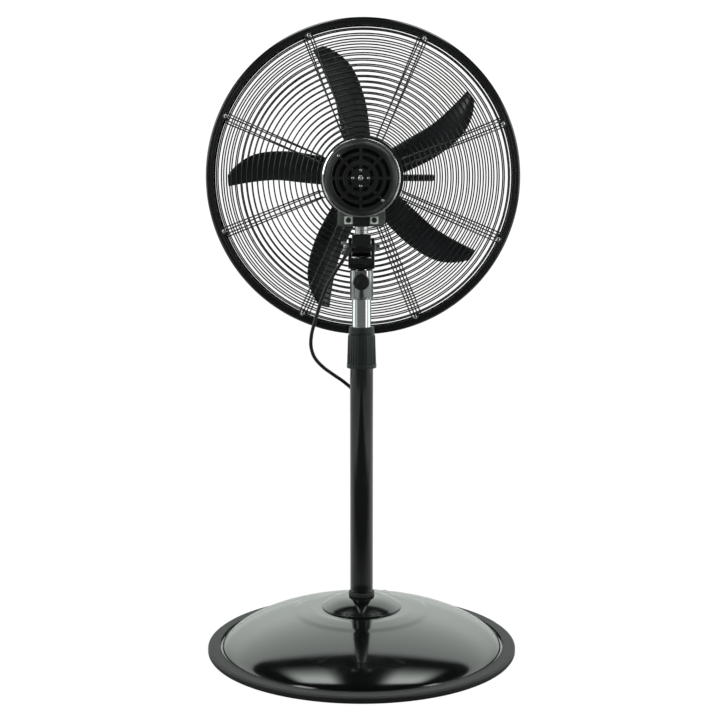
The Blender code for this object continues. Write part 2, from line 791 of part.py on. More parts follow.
def make_saddle(head):
    """The foot under the motor. Heights here are from the motor's axis."""
    bottom = SADDLE_Z - HEAD_Z
    half = SADDLE_WIDTH / 2
    seat_r = HOUSING_R + GAP
    horn = min(bottom + SADDLE_HORN, -math.sqrt(max(0.0, seat_r**2 - half**2)))
    spread = math.degrees(math.asin(min(1.0, (half - 0.0015) / seat_r)))
    outline = [(-half + 0.004, bottom), (half - 0.004, bottom), (half, bottom + 0.004), (half, horn)]
    outline += arc(seat_r, -90 + spread, -90 - spread, 10)
    outline += [(-half, horn), (-half, bottom + 0.004)]
    saddle = add("motor_saddle", prism(outline, -SADDLE_FRONT_Y, -SADDLE_REAR_Y), "bright_steel", head, turn=AGAINST_Y)
    spigot = disc(SPIGOT_R + GAP, bottom - 0.01, bottom + SPIGOT_STAND + GAP, 16)
    boolean(saddle, cutter("saddle_post_hole", spigot, head))
    bolt_z = bottom + SADDLE_SEAT * 0.72
    shank = 0.0140
    for number, side in enumerate((-1, 1), 1):
        place = (side * SADDLE_BOLT_X, SADDLE_REAR_Y - GAP, bolt_z)
        hole = disc(SADDLE_BOLT_R + GAP, -0.01, shank + 2 * GAP, 12)
        boolean(saddle, cutter(f"saddle_bolt_hole_{number}", hole, head, place, ALONG_Y))
        hex_bolt(
            f"saddle_bolt_{number}", 0.0058, 0.0045, SADDLE_BOLT_R, shank, "cast_iron", head, place, ALONG_Y
        )


def make_motor(head):
    """The housing, its end bell, the rear cap and the still parts inside, turned round Y."""
    wall_y = HOUSING_FRONT_Y - HOUSING_WALL
    boss_y = HOUSING_FRONT_Y - BEARING_LENGTH - 2 * GAP
    bore = BEARING_R + GAP
    housing = [
        (bore, HOUSING_FRONT_Y),
        (HOUSING_R - 0.004, HOUSING_FRONT_Y),
        (HOUSING_R, HOUSING_FRONT_Y - 0.004),
        (HOUSING_R, HOUSING_REAR_Y),
        (HOUSING_R - HOUSING_WALL, HOUSING_REAR_Y),
        (HOUSING_R - HOUSING_WALL, wall_y),
        (BEARING_BOSS_R, wall_y),
        (BEARING_BOSS_R, boss_y),
        (bore, boss_y),
    ]
    add("motor_housing", turned(housing, 32), "bright_steel", head, turn=ALONG_Y)
    rear_boss_y = BELL_REAR_Y + BEARING_LENGTH + 2 * GAP
    bell = [
        (bore, BELL_REAR_Y),
        (HOUSING_R, BELL_REAR_Y),
        (HOUSING_R, BELL_FRONT_Y),
        (BEARING_BOSS_R, BELL_FRONT_Y),
        (BEARING_BOSS_R, rear_boss_y),
        (bore, rear_boss_y),
    ]
    add("rear_end_bell", turned(bell, 32), "bright_steel", head, turn=ALONG_Y)
    front_low = HOUSING_FRONT_Y - BEARING_LENGTH - GAP
    rear_low = BELL_REAR_Y + GAP
    for name, low in (("front_bearing", front_low), ("rear_bearing", rear_low)):
        shape = ring(SHAFT_R + GAP, BEARING_R, low, low + BEARING_LENGTH, 20)
        add(name, shape, "bright_steel", head, turn=ALONG_Y)
    stack = ring(ROTOR_R + GAP, STATOR_R, STACK_REAR_Y, STACK_FRONT_Y, 24)
    add("stator", stack, "steel_stack", head, turn=ALONG_Y)
    winding = ring(ROTOR_R + 0.004, STATOR_R - 0.007, STACK_FRONT_Y + GAP, STACK_FRONT_Y + WINDING_DEPTH, 20)
    add("stator_winding", winding, "copper", head, turn=ALONG_Y)
    add(
        "run_capacitor",
        block((-0.016, CAP_FRONT_Y - 0.026, 0.018), (0.016, CAP_FRONT_Y - 0.002, 0.034)),
        "black_plastic",
        head,
    )

    depth = CAP_DEPTH
    outside = [
        (0, -depth),
        (CAP_R - 0.0120, -depth + 0.0008),
        (CAP_R - 0.0050, -depth + 0.0030),
        (CAP_R - 0.0015, -depth + 0.0085),
        (CAP_R, 0.0),
    ]
    inside = [(max(r - CAP_WALL, 0.0), y + CAP_WALL) for r, y in outside[:-1]]
    inside.append((CAP_R - CAP_WALL, 0.0))
    profile = [(r, CAP_FRONT_Y + y) for r, y in outside + inside[::-1]]
    cap = add("rear_cap", turned(profile, 24), "black_plastic", head, turn=ALONG_Y)
    face_y = CAP_REAR_Y
    slots = []
    for k in range(CAP_SLOTS):
        centre = 360 / CAP_SLOTS * (k + 0.5)
        half = 360 / CAP_SLOTS / 2 - 7
        outer = arc(0.0420, centre - half, centre + half, 3)
        inner = arc(0.0340, centre + half, centre - half, 3)
        slots.append(prism(outer + inner, face_y - 0.005, face_y + CAP_WALL + 0.005))
    slots.append(disc(0.0022, face_y - 0.005, face_y + CAP_WALL + 0.005, 10))
    boolean(cap, cutter("cap_openings", merged(*slots), head, turn=ALONG_Y))
    screw = [
        (0, face_y - 0.0025),
        (0.0036, face_y - 0.0023),
        (0.0044, face_y - 0.0010),
        (0.0044, face_y - GAP),
        (0.0019, face_y - GAP),
        (0.0019, face_y + 0.0070),
        (0, face_y + 0.0070),
    ]
    add("cap_screw", turned(screw, 12), "bright_steel", head, turn=ALONG_Y)


def guard_y(radius, inner_y, seat_y, fullness):
    """How far forward the guard's wires lie at a radius."""
    share = min(1.0, radius / SEAT_R)
    return seat_y + (inner_y - seat_y) * (1 - share**fullness)


def guard_net(rings, depth_at):
    """Rings and spokes as one flat-strip net; each ring is (centre radius, width)."""
    bm = bmesh.new()
    half = WIRE * 0.75
    between = 3
    stations = []
    for centre, width in rings:
        for radius in (centre - width / 2, centre + width / 2):
            row = []
            leg = half / radius
            pitch = math.tau / SPOKES
            for k in range(SPOKES):
                middle = pitch * (k + 0.5)
                row.append(middle - leg)
                row += [middle + leg + (pitch - 2 * leg) * j / between for j in range(between)]
            stations.append(
                [bm.verts.new((radius * math.cos(a), depth_at(radius), radius * math.sin(a))) for a in row]
            )
    count = SPOKES * (between + 1)
    for index, (low, high) in enumerate(zip(stations, stations[1:])):
        on_ring = index % 2 == 0
        for k in range(count):
            if on_ring or k % (between + 1) == 0:
                j = (k + 1) % count
                bm.faces.new((low[k], low[j], high[j], high[k]))
    return bm


def make_guard(head):
    """The plate, the two wire guards, the band that joins them, the badge and the cross."""
    plate = [
        (BEARING_BOSS_R, PLATE_REAR_Y),
        (BEARING_BOSS_R + 0.016, PLATE_REAR_Y),
        (BEARING_BOSS_R + 0.016, PLATE_FRONT_Y - PLATE_THICK),
        (PLATE_R, PLATE_FRONT_Y - PLATE_THICK),
        (PLATE_R, PLATE_FRONT_Y),
        (BEARING_BOSS_R, PLATE_FRONT_Y),
    ]
    add("guard_plate", turned(plate, 28), "black_enamel", head, turn=ALONG_Y)
    band = [
        (RIM_BORE, RIM_REAR_Y),
        (GUARD_R - 0.002, RIM_REAR_Y),
        (GUARD_R, RIM_REAR_Y + 0.002),
        (GUARD_R, RIM_FRONT_Y - 0.002),
        (GUARD_R - 0.002, RIM_FRONT_Y),
        (RIM_BORE, RIM_FRONT_Y),
        (RIM_BORE, RIM_FRONT_Y - RIM_SHEET),
        (GUARD_R - RIM_WALL, RIM_FRONT_Y - RIM_SHEET),
        (GUARD_R - RIM_WALL, RIM_REAR_Y + RIM_SHEET),
        (RIM_BORE, RIM_REAR_Y + RIM_SHEET),
    ]
    add("rim_band", turned(band, 40), "black_plastic", head, turn=ALONG_Y)

    edge_width = GUARD_R - RIM_WALL - RIM_SEAT_PLAY - SEAT_R
    edge = SEAT_R + edge_width / 2
    for name, inner, inner_y, seat_y, fullness in (
        ("rear_guard", REAR_RING_R, REAR_RING_Y, REAR_SEAT_Y, REAR_FULLNESS),
        ("front_guard", FRONT_RING_R, FRONT_SEAT_Y + FRONT_DOME, FRONT_SEAT_Y, FRONT_FULLNESS),
    ):
        steps = 3
        rings = [(inner + (edge - inner) * k / steps, WIRE * 1.2) for k in range(steps)]
        rings.append((edge, edge_width))
        shape = guard_net(rings, lambda r, a=inner_y, b=seat_y, c=fullness: guard_y(r, a, b, c))
        guard = add(name, shape, "black_enamel", head)
        wall = guard.modifiers.new("wire", "SOLIDIFY")
        wall.thickness = WIRE
        wall.offset = 0.0

    badge_r = FRONT_RING_R - WIRE
    low = FRONT_SEAT_Y + FRONT_DOME - WIRE
    badge = [(0, low), (badge_r, low), (badge_r, BADGE_Y), (badge_r - 0.003, BADGE_Y + 0.0015), (0, BADGE_Y + 0.0015)]
    add("centre_badge", turned(badge, 24), "black_plastic", head, turn=ALONG_Y)
    capsule = [(0, -CROSS_R)]
    for degrees in (30, 60, 90):
        a = math.radians(degrees)
        capsule.append((CROSS_ROD_R * math.sin(a), -CROSS_R + CROSS_ROD_R * (1 - math.cos(a))))
    capsule += [(r, -z) for r, z in reversed(capsule)]
    cross = add("guard_cross", turned(capsule, 12), "black_plastic", head, (0, CROSS_Y, 0), ALONG_X)
    other = cutter("cross_upright", turned(capsule, 12), head, (0, CROSS_Y, 0))
    boolean(cross, other, "UNION")


def blade_mesh():
    """One swept blade whose tip lies on local +X, twisted about its middle line."""
    rows = 10
    columns = 4
    root = HUB_R + ROOT_CLEARANCE
    bm = bmesh.new()
    grid = []
    for i in range(rows + 1):
        share = i / rows
        radius = root + (BLADE_TIP_R - root) * share
        lead = smooth(LEADING_EDGE, share, len(LEADING_EDGE))
        trail = smooth(TRAILING_EDGE, share, len(TRAILING_EDGE))
        pitch = math.radians(ROOT_PITCH + (TIP_PITCH - ROOT_PITCH) * share)
        middle = (lead + trail) / 2
        row = []
        for j in range(columns + 1):
            degrees = lead + (trail - lead) * j / columns
            a = math.radians(degrees)
            rise = math.tan(pitch) * radius * math.radians(degrees - middle)
            row.append(bm.verts.new((radius * math.cos(a), rise, radius * math.sin(a))))
        grid.append(row)
    for low, high in zip(grid, grid[1:]):
        for j in range(columns):
            bm.faces.new((low[j], low[j + 1], high[j + 1], high[j]))
    return bm


def make_rotor(spin):
    """What turns: the shaft, the rotor core, the hub with its nut and the blades."""
    shaft = disc(SHAFT_R, SHAFT_REAR_Y, SHAFT_FRONT_Y, 16)
    add("motor_shaft", shaft, "bright_steel", spin, turn=ALONG_Y)
    core = ring(SHAFT_R + GAP, ROTOR_R, STACK_REAR_Y, STACK_FRONT_Y, 20)
    add("rotor_core", core, "steel_stack", spin, turn=ALONG_Y)
    bore = SHAFT_R + GAP
    hub = [
        (bore, HUB_REAR_Y),
        (HUB_R, HUB_REAR_Y),
        (HUB_R, HUB_FRONT_Y - 0.006),
        (HUB_R * 0.86, HUB_FRONT_Y),
        (bore, HUB_FRONT_Y),
    ]
    add("blade_hub", turned(hub, 28), "blade_enamel", spin, turn=ALONG_Y)
    top = SHAFT_FRONT_Y + 0.003
    nut = [
        (0, SHAFT_FRONT_Y + GAP),
        (bore, SHAFT_FRONT_Y + GAP),
        (bore, HUB_FRONT_Y + GAP),
        (HUB_NUT_R, HUB_FRONT_Y + GAP),
        (HUB_NUT_R * 0.85, top - 0.002),
        (HUB_NUT_R * 0.5, top),
        (0, top),
    ]
    add("hub_nut", turned(nut, 16), "black_plastic", spin, turn=ALONG_Y)
    for k in range(BLADES):
        degrees = BLADE_FIRST + 360 / BLADES * k
        turn = (0.0, -math.radians(degrees), 0.0)
        blade = add(f"blade_{k + 1}", blade_mesh(), "blade_enamel", spin, (0, BLADE_Y, 0), turn)
        wall = blade.modifiers.new("sheet", "SOLIDIFY")
        wall.thickness = BLADE_THICK
        wall.offset = 0.0


def make_cord(stand):
    """The mains lead, its clips on the pole, and the hank, tie and plug behind the base."""
    moved = OUTER_TUBE_R - ROUTE_TUBE_R
    beside_pole = [(x, y + moved * (abs(x) < 0.02 and 0.12 < z < 0.49), z) for x, y, z in CORD_ROUTE]
    cord_tube("power_cord", beside_pole, stand)
    x, y = HANK_CENTRE
    half = HANK_RUN / 2
    outline = arc(HANK_TURN, -90, 90, 8, (x + half, y))
    outline += arc(HANK_TURN, 90, 270, 8, (x - half, y))
    top = HANK_Z + 2 * CORD_R
    add("cord_hank", prism(outline, HANK_Z, top), "cord_pvc", stand)
    reach = HANK_TURN + 0.0004
    ends = (TIE_X - TIE_WIDTH / 2, TIE_X + TIE_WIDTH / 2)
    low = HANK_Z - 0.0003
    high = top + 0.0003
    tie = add(
        "cord_tie",
        block((ends[0], y - reach - TIE_WALL, low - TIE_WALL), (ends[1], y + reach + TIE_WALL, high + TIE_WALL)),
        "rubber",
        stand,
    )
    hole = block((ends[0] - 0.01, y - reach, low), (ends[1] + 0.01, y + reach, high))
    boolean(tie, cutter("tie_opening", hole, stand))
    cord_tube("cord_tail", CORD_TAIL, stand)

    plug_y = CORD_TAIL[-1][1]
    plug_z = CORD_TAIL[-1][2]
    half_width = PLUG_WIDTH / 2
    plug = [
        (0.0, -0.0052),
        (0.008, -half_width * 0.75),
        (0.020, -half_width),
        (PLUG_LENGTH, -half_width),
        (PLUG_LENGTH, half_width),
        (0.020, half_width),
        (0.008, half_width * 0.75),
        (0.0, 0.0052),
    ]
    outline = [(PLUG_X - u, plug_y + v) for u, v in plug]
    add("plug_body", prism(outline, plug_z - PLUG_THICK / 2, plug_z + PLUG_THICK / 2), "black_plastic", stand)
    start = PLUG_X - PLUG_LENGTH - GAP - PIN_LENGTH
    for number, side in enumerate((-1, 1), 1):
        place = (start, plug_y + side * PIN_APART, plug_z)
        add(f"plug_pin_{number}", disc(PIN_R, 0.0, PIN_LENGTH, 10), "brass", stand, place, ALONG_X)

    for name, height in CLIP_HEIGHTS.items():
        foot = OUTER_TUBE_R + GAP
        floor = foot + CLIP_FLOOR
        inner = CORD_R + GAP
        outer = inner + CLIP_ARM
        tip = floor + 2 * CORD_R
        outline = [
            (-outer, foot),
            (outer, foot),
            (outer, tip),
            (inner, tip),
            (inner, floor),
            (-inner, floor),
            (-inner, tip),
            (-outer, tip),
        ]
        add(name, prism(outline, 0.0, CLIP_HEIGHT), "black_plastic", stand, (0, 0, height))


def main():
    clear_scene()
    stand = pivot("stand", (0, 0, 0))
    make_base(stand)
    make_pole(stand)
    make_cord(stand)
    make_collar(pivot("collar_axis", (0, 0, COLLAR_Z), stand))
    mast = pivot("mast", (0, 0, 0), stand)
    make_mast(mast)
    make_gland(mast)
    make_knob(pivot("knob_axis", (0, 0, KNOB_Z), mast))
    make_wing_nut(pivot("wing_nut_axis", (0, 0, TILT_Z), mast))
    tilt = pivot("tilt_axis", (0, 0, TILT_Z), mast)
    make_tilt_block(tilt)
    head = pivot("head", (0, 0, HEAD_Z - TILT_Z), tilt)
    make_saddle(head)
    make_motor(head)
    make_guard(head)
    make_rotor(pivot("spin_axis", (0, 0, 0), head))


main()
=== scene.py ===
import math

import bmesh
import bpy
from bpy.props import FloatProperty, FloatVectorProperty, IntProperty, PointerProperty
from mathutils import Matrix, Vector


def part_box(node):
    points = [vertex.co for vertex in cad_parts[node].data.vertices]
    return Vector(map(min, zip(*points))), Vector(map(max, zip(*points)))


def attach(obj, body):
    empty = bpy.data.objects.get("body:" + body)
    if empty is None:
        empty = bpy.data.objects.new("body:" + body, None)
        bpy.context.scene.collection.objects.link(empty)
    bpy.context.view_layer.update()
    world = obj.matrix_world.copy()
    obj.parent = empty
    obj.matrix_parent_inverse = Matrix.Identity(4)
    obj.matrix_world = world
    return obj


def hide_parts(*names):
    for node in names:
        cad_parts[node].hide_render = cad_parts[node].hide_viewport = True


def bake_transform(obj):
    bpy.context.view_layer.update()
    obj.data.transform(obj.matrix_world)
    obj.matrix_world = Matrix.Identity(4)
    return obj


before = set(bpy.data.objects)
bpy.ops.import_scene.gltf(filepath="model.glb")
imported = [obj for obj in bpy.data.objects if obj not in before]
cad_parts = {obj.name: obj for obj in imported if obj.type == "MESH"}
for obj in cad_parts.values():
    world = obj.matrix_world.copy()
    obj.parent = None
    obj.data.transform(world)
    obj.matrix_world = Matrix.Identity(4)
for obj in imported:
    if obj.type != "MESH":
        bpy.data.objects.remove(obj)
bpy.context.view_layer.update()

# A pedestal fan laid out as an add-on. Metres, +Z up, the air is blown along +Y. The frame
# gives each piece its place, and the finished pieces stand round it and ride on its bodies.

bl_info = {
    "name": "Pedestal fan",
    "version": (1, 0, 0),
    "blender": (4, 5, 0),
    "location": "3D View > Sidebar > Fan",
    "description": "Builds a pedestal fan round its packed frame",
    "category": "Add Mesh",
}

QUARTER = math.radians(90)


class Extent:
    """Where a node of the frame is."""

    def __init__(self, node):
        low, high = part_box(node)
        self.low = Vector(low)
        self.high = Vector(high)
        self.middle = (self.low + self.high) / 2
        self.radius = (self.high.x - self.low.x) / 2


TRIM, SHELL, COVER, FOOT_RING, OUTER_TUBE, INNER_TUBE, COLLAR, SOCKET, YOKE, KNOB = map(Extent, (
    "base_rim_trim", "base_shell", "base_cover", "pole_foot_ring", "outer_tube", "inner_tube", "height_collar",
    "neck_socket", "tilt_yoke", "neck_knob",
))
WING_NUT, TILT_BOLT, BLOCK, POST, BUSH, SADDLE, HOUSING, BELL, CAP, PLATE = map(Extent, (
    "tilt_wing_nut", "tilt_bolt", "tilt_block", "pivot_post", "swivel_bush", "motor_saddle", "motor_housing",
    "rear_end_bell", "rear_cap", "guard_plate",
))
RIM, REAR_GUARD, FRONT_GUARD, BADGE, CROSS, HUB, HUB_NUT, PLUG, TIE = map(Extent, (
    "rim_band", "rear_guard", "front_guard", "centre_badge", "guard_cross", "blade_hub", "hub_nut", "plug_body",
    "cord_tie",
))
SADDLE_BOLTS, PINS, CLIPS = (
    tuple(map(Extent, names))
    for names in (
        ("saddle_bolt_1", "saddle_bolt_2"), ("plug_pin_1", "plug_pin_2"), ("cord_clip_upper", "cord_clip_lower"),
    )
)

HEAD_Z = CAP.middle.z
TILT_Z = TILT_BOLT.middle.z
# Head pieces are turned round local Z, which this lays along +Y at the motor's axis.
HEAD = Matrix.Translation((0, 0, HEAD_Z)) @ Matrix.Rotation(-QUARTER, 4, "X")
ALONG_X = Matrix.Rotation(QUARTER, 4, "Y")
AGAINST_X = Matrix.Rotation(-QUARTER, 4, "Y")
UPRIGHT = Matrix.Rotation(QUARTER, 4, "X")
SIDEWAYS = Matrix.Rotation(QUARTER, 4, "Z") @ UPRIGHT
TURNED = Matrix.Rotation(2 * QUARTER, 4, "X")

CAMERA_PLACE = (0.052, -2.496, 0.8735)
CAMERA_TURN = (82.4, 0.0, 1.26)
CAMERA_LENS = 69.3
BACKDROP_WHITE = 1.05


def metres(*points):
    """Points given in millimetres."""
    return [tuple(value / 1000 for value in point) for point in points]


# The mains lead: from the gland, down behind the pole and over the base to its hank.
LEAD_RUN = metres(
    (-28.8, -41.4, 729.8), (-31.2, -44.8, 725.4), (-35, -46.4, 719.5), (-41.2, -45.2, 711), (-50, -41, 696.5),
    (-59, -35, 681.5), (-65.5, -32.5, 667), (-71.2, -31, 652), (-77.5, -30, 632), (-83.5, -30, 612),
    (-89, -29, 591), (-90.5, -25.5, 569), (-85, -18, 548), (-71, -5, 529), (-52, 11, 512), (-32, 22.5, 496),
    (-14, 26.8, 478), (-3, 26.4, 456), (0, 26.2, 430), (0, 26.2, 350), (0, 26.2, 250), (0, 26.2, 165), (0, 29, 138),
    (0, 42, 116), (0, 64, 100), (0, 90, 86), (0, 125, 75.5), (0, 150, 69.3), (0, 176, 61.6), (0.2, 193, 55.7),
    (0.8, 209, 49.2), (4.5, 223, 42.5), (15, 233.5, 36.6), (26.5, 237.5, 34.2), (37.5, 238.3, 33),
    (47.5, 238.6, 31.6), (58.3, 241, 29.2), (67, 247.6, 25.2), (72.1, 257.4, 21.4), (72.7, 268.4, 18.8),
    (68.4, 278.6, 16.8), (60.3, 286.1, 14), (49.7, 289.4, 10.2), (41, 289.6, 6.8), (32, 289.5, 5.2),
)
LEAD_END = metres(
    (40.5, 298, 12.2), (36, 293.2, 12.8), (30.5, 290.8, 13.3), (24.5, 290.5, 13.8), (18.5, 291.8, 14.1),
    (13, 293.6, 14.2), (9, 294.5, 14.2),
)
HANK_MIDDLE = (-0.00625, 0.309)
HANK_HALF_RUN = 0.03075
HANK_FOLD = 0.0195
HANK_HEIGHT = 0.0047
GLAND_RUN = metres(
    (-22.2, -17.8, 743), (-22.6, -23.5, 742), (-23.8, -29.5, 739.5), (-25.8, -35.5, 735.5), (-28.4, -40.6, 730.6),
)
GLAND_RADII = (0.0045, 0.0045, 0.0043, 0.0041, 0.0039)
GLAND_RIB = 0.00035

SPOKE_END = 0.2745
RIM_SCREW_CIRCLE = 0.2755
# Degrees by which the front guard's spokes are turned on from the rear guard's.
FRONT_TURN = 1.2

BLADE_FIRST = 37.0
BLADE_Y = 0.085
BLADE_TIP = 0.249
BLADE_PITCH = (32.0, 18.0)
BLADE_CAMBER = 0.0035
LEADING_EDGE = [(0.0, -37.0), (0.22, -27.5), (0.51, -20.1), (0.78, -13.1), (0.92, -7.0), (1.0, -2.2)]
TRAILING_EDGE = [(0.0, 15.0), (0.2, 6.6), (0.43, 1.7), (0.58, 0.4), (0.78, 1.1), (1.0, 2.5)]


def tint(name, description, value):
    """A colour property."""
    return FloatVectorProperty(
        name=name, description=description, default=value, size=3, min=0.0, max=1.0, subtype="COLOR"
    )


def distance(name, description, value):
    """A length property in metres."""
    return FloatProperty(
        name=name, description=description, default=value, min=0.0, unit="LENGTH", subtype="DISTANCE"
    )


class FanSizes(bpy.types.PropertyGroup):
    """Sizes that may be changed without leaving the frame."""

    lead_thickness: distance("Lead thickness", "Diameter of the mains lead", 0.0065)
    wire_thickness: distance("Wire thickness", "Diameter of the guards' wires", 0.0026)
    rear_inner_ring: distance("Rear inner ring", "Radius of the rear guard's smallest ring", 0.0718)
    front_inner_ring: distance("Front inner ring", "Radius of the front guard's smallest ring", 0.049)
    edge_ring: distance("Edge ring", "Radius of both guards' largest ring", 0.271)
    leg_gap: distance("Leg gap", "Distance between the two legs of a hairpin spoke", 0.012)
    rear_rings: IntProperty(name="Rear rings", description="Rings in the rear guard", default=21, min=2)
    front_rings: IntProperty(name="Front rings", description="Rings in the front guard", default=23, min=2)
    spokes: IntProperty(name="Spokes", description="Hairpin spokes in each guard", default=8, min=2)
    spoke_turn: FloatProperty(
        name="Spoke turn",
        description="Angle of the first spoke, seen from behind",
        default=math.radians(20.9),
        subtype="ANGLE",
    )
    collar_ribs: IntProperty(name="Collar ribs", description="Grip ribs round the collar", default=30, min=3)
    knob_ribs: IntProperty(name="Knob ribs", description="Grip ribs round the knob", default=24, min=3)
    blade_thickness: distance("Blade thickness", "Thickness of the blades' sheet", 0.0018)


class FanColours(bpy.types.PropertyGroup):
    """The base colours of the finishes."""

    enamel: tint("Enamel", "Gloss enamel on the base, pole and guards", (0.0045, 0.0047, 0.005))
    plastic: tint("Plastic", "Moulded black plastic", (0.011, 0.0112, 0.0118))
    rubber: tint("Rubber", "Edge trim, gland and foot ring", (0.03, 0.0305, 0.031))
    chrome: tint("Chrome", "Plated tube", (0.74, 0.75, 0.76))
    gunmetal: tint("Gunmetal", "Dark plated socket", (0.36, 0.37, 0.37))
    steel: tint("Steel", "Bright steel fittings", (0.66, 0.67, 0.68))
    zinc: tint("Zinc", "Cast saddle under the motor", (0.3, 0.33, 0.3))
    iron: tint("Iron", "Cast iron and blackened screws", (0.05, 0.05, 0.052))
    collar: tint("Collar", "Satin collar plastic", (0.02, 0.026, 0.025))
    blade: tint("Blade", "Satin enamel on the blades", (0.0105, 0.012, 0.0145))
    copper: tint("Copper", "Motor winding", (0.6, 0.26, 0.12))
    laminate: tint("Laminate", "Motor core sheets", (0.25, 0.25, 0.26))
    nylon: tint("Nylon", "Bushes inside the pole", (0.7, 0.69, 0.65))
    brass: tint("Brass", "Plug pins", (0.62, 0.48, 0.2))
    lead: tint("Lead", "Sheath of the mains lead", (0.009, 0.009, 0.0095))
    floor: tint("Floor", "Studio floor", (0.66, 0.66, 0.66))


class Wire:
    """One socket's value in a node tree, so that sums on it read as sums."""

    def __init__(self, graph, socket):
        self.graph = graph
        self.socket = socket

    def math(self, operation, *values):
        return self.graph.node("ShaderNodeMath", dict(enumerate(values)), operation=operation)

    def __add__(self, other):
        return self.math("ADD", self, other)

    def __radd__(self, other):
        return self.math("ADD", other, self)

    def __sub__(self, other):
        return self.math("SUBTRACT", self, other)

    def __rsub__(self, other):
        return self.math("SUBTRACT", other, self)

    def __mul__(self, other):
        return self.math("MULTIPLY", self, other)

    def __rmul__(self, other):
        return self.math("MULTIPLY", other, self)

    def __truediv__(self, other):
        return self.math("DIVIDE", self, other)

    def __pow__(self, other):
        return self.math("POWER", self, other)

    def at_most(self, other):
        return self.math("MINIMUM", self, other)

    def at_least(self, other):
        return self.math("MAXIMUM", self, other)

    def sine(self):
        return self.math("SINE", self)

    def cosine(self):
        return self.math("COSINE", self)

    def between(self, low, high):
        return self.at_least(low).at_most(high)

    def eased(self, start, end):
        """0 before start, 1 after end and a smooth step between them."""
        share = ((self - start) / (end - start)).between(0.0, 1.0)
        return share * share * (3.0 - 2.0 * share)


class Graph:
    """A node tree that is being made."""

    def __init__(self, tree):
        self.tree = tree

    @staticmethod
    def socket(sockets, key):
        shown = [s for s in sockets if s.enabled]
        if isinstance(key, int):
            return shown[key]
        return next(s for s in shown if s.name == key)

    def node(self, kind, inputs=None, out=0, **settings):
        """A new node with its settings, then its sockets' values or links. Gives the output asked for."""
        made = self.tree.nodes.new(kind)
        for name, value in settings.items():
            setattr(made, name, value)
        for key, value in (inputs or {}).items():
            self.feed(self.socket(made.inputs, key), value)
        return Wire(self, self.socket(made.outputs, out))

    def feed(self, socket, value):
        if isinstance(value, list):
            for each in value:
                self.feed(socket, each)
        elif isinstance(value, Wire):
            self.tree.links.new(value.socket, socket)
        else:
            socket.default_value = value


class Finish(Graph):
    """A material being made, with its shader."""

    def __init__(self, name):
        self.material = bpy.data.materials.new(name)
        self.material.use_nodes = True
        super().__init__(self.material.node_tree)
        self.tree.nodes.clear()
        self.shader = self.tree.nodes.new("ShaderNodeBsdfPrincipled")
        self.output = self.tree.nodes.new("ShaderNodeOutputMaterial")
        self.show(Wire(self, self.shader.outputs[0]))

    def show(self, surface):
        self.tree.links.new(surface.socket, self.output.inputs["Surface"])

    def set(self, **values):
        for name, value in values.items():
            socket = self.shader.inputs[name.replace("_", " ").title().replace("Ior", "IOR")]
            if socket.type == "RGBA" and isinstance(value, (tuple, list)):
                value = (*value[:3], 1.0)
            self.feed(socket, value)

    def place(self, scale=(1.0, 1.0, 1.0)):
        """The point on the piece in metres, stretched by a scale."""
        where = self.node("ShaderNodeTexCoord", out="Object")
        return self.node("ShaderNodeMapping", {"Vector": where, "Scale": scale})

    def noise(self, scale, detail=3.0, roughness=0.5, stretch=(1.0, 1.0, 1.0)):
        sizes = {"Vector": self.place(stretch), "Scale": scale, "Detail": detail, "Roughness": roughness}
        return self.node("ShaderNodeTexNoise", sizes)

    def cells(self, scale):
        return self.node("ShaderNodeTexVoronoi", {"Vector": self.place(), "Scale": scale}, out="Distance")

    def along(self, axis):
        """One coordinate of the point on the piece."""
        split = {"Vector": self.place()}
        return self.node("ShaderNodeSeparateXYZ", split, out=axis)

    def mixed(self, share, first, second):
        """A colour between two."""
        ends = {"Factor": share, "A": (*first, 1.0), "B": (*second, 1.0)}
        return self.node("ShaderNodeMix", ends, out="Result", data_type="RGBA")

    def bump(self, height, distance, strength):
        """A relief, the last step of a finish. Gives the material."""
        sizes = {"Height": height, "Distance": distance, "Strength": strength}
        self.set(normal=self.node("ShaderNodeBump", sizes))
        return self.material


def shaded(colour, amount):
    """A colour made lighter or darker."""
    return tuple(min(1.0, c * amount) for c in colour)


def patched(name, colour, patches, share, lighter, **constants):
    """A finish with soft patches of another shade. Gives it and its patches.

    The patches are a noise's scale, detail and roughness, and where they start and are full.
    """
    made = Finish(name)
    patch = made.noise(*patches[:3]).eased(*patches[3:])
    made.set(base_color=made.mixed(patch * share, colour, shaded(colour, lighter)), **constants)
    return made, patch


def gloss_enamel(name, colour):
    """Stoved gloss enamel: a faint orange peel, a little dust and a clear top."""
    coat, dust = patched(name, colour, (38.0, 5.0, 0.65, 0.5, 0.78), 0.5, 2.2)
    streak = coat.noise(9.0, 2.0, 0.5, (1.0, 1.0, 0.25)).eased(0.35, 0.75)
    coat.set(roughness=0.1 + 0.05 * streak + 0.06 * dust, coat_weight=0.55, coat_roughness=0.05, coat_ior=1.5)
    return coat.bump(coat.noise(420.0, 2.0, 0.5), 0.00006, 0.5)


def moulded_plastic(name, colour, rough=0.38, grain=1500.0):
    """Moulded plastic with a fine spark grain and handling marks."""
    body, marks = patched(name, colour, (24.0, 4.0, 0.6, 0.45, 0.75), 0.6, 1.8, specular_ior_level=0.4)
    body.set(roughness=rough + 0.08 * marks)
    return body.bump(body.cells(grain), 0.00008, 0.5)


def soft_rubber(name, colour):
    """Matt rubber that has gone a little grey in places."""
    body, bloom = patched(name, colour, (30.0, 6.0, 0.7, 0.4, 0.8), 1.0, 1.9)
    body.set(roughness=0.62 + 0.16 * bloom)
    return body.bump(body.noise(900.0, 3.0, 0.6), 0.0001, 0.6)


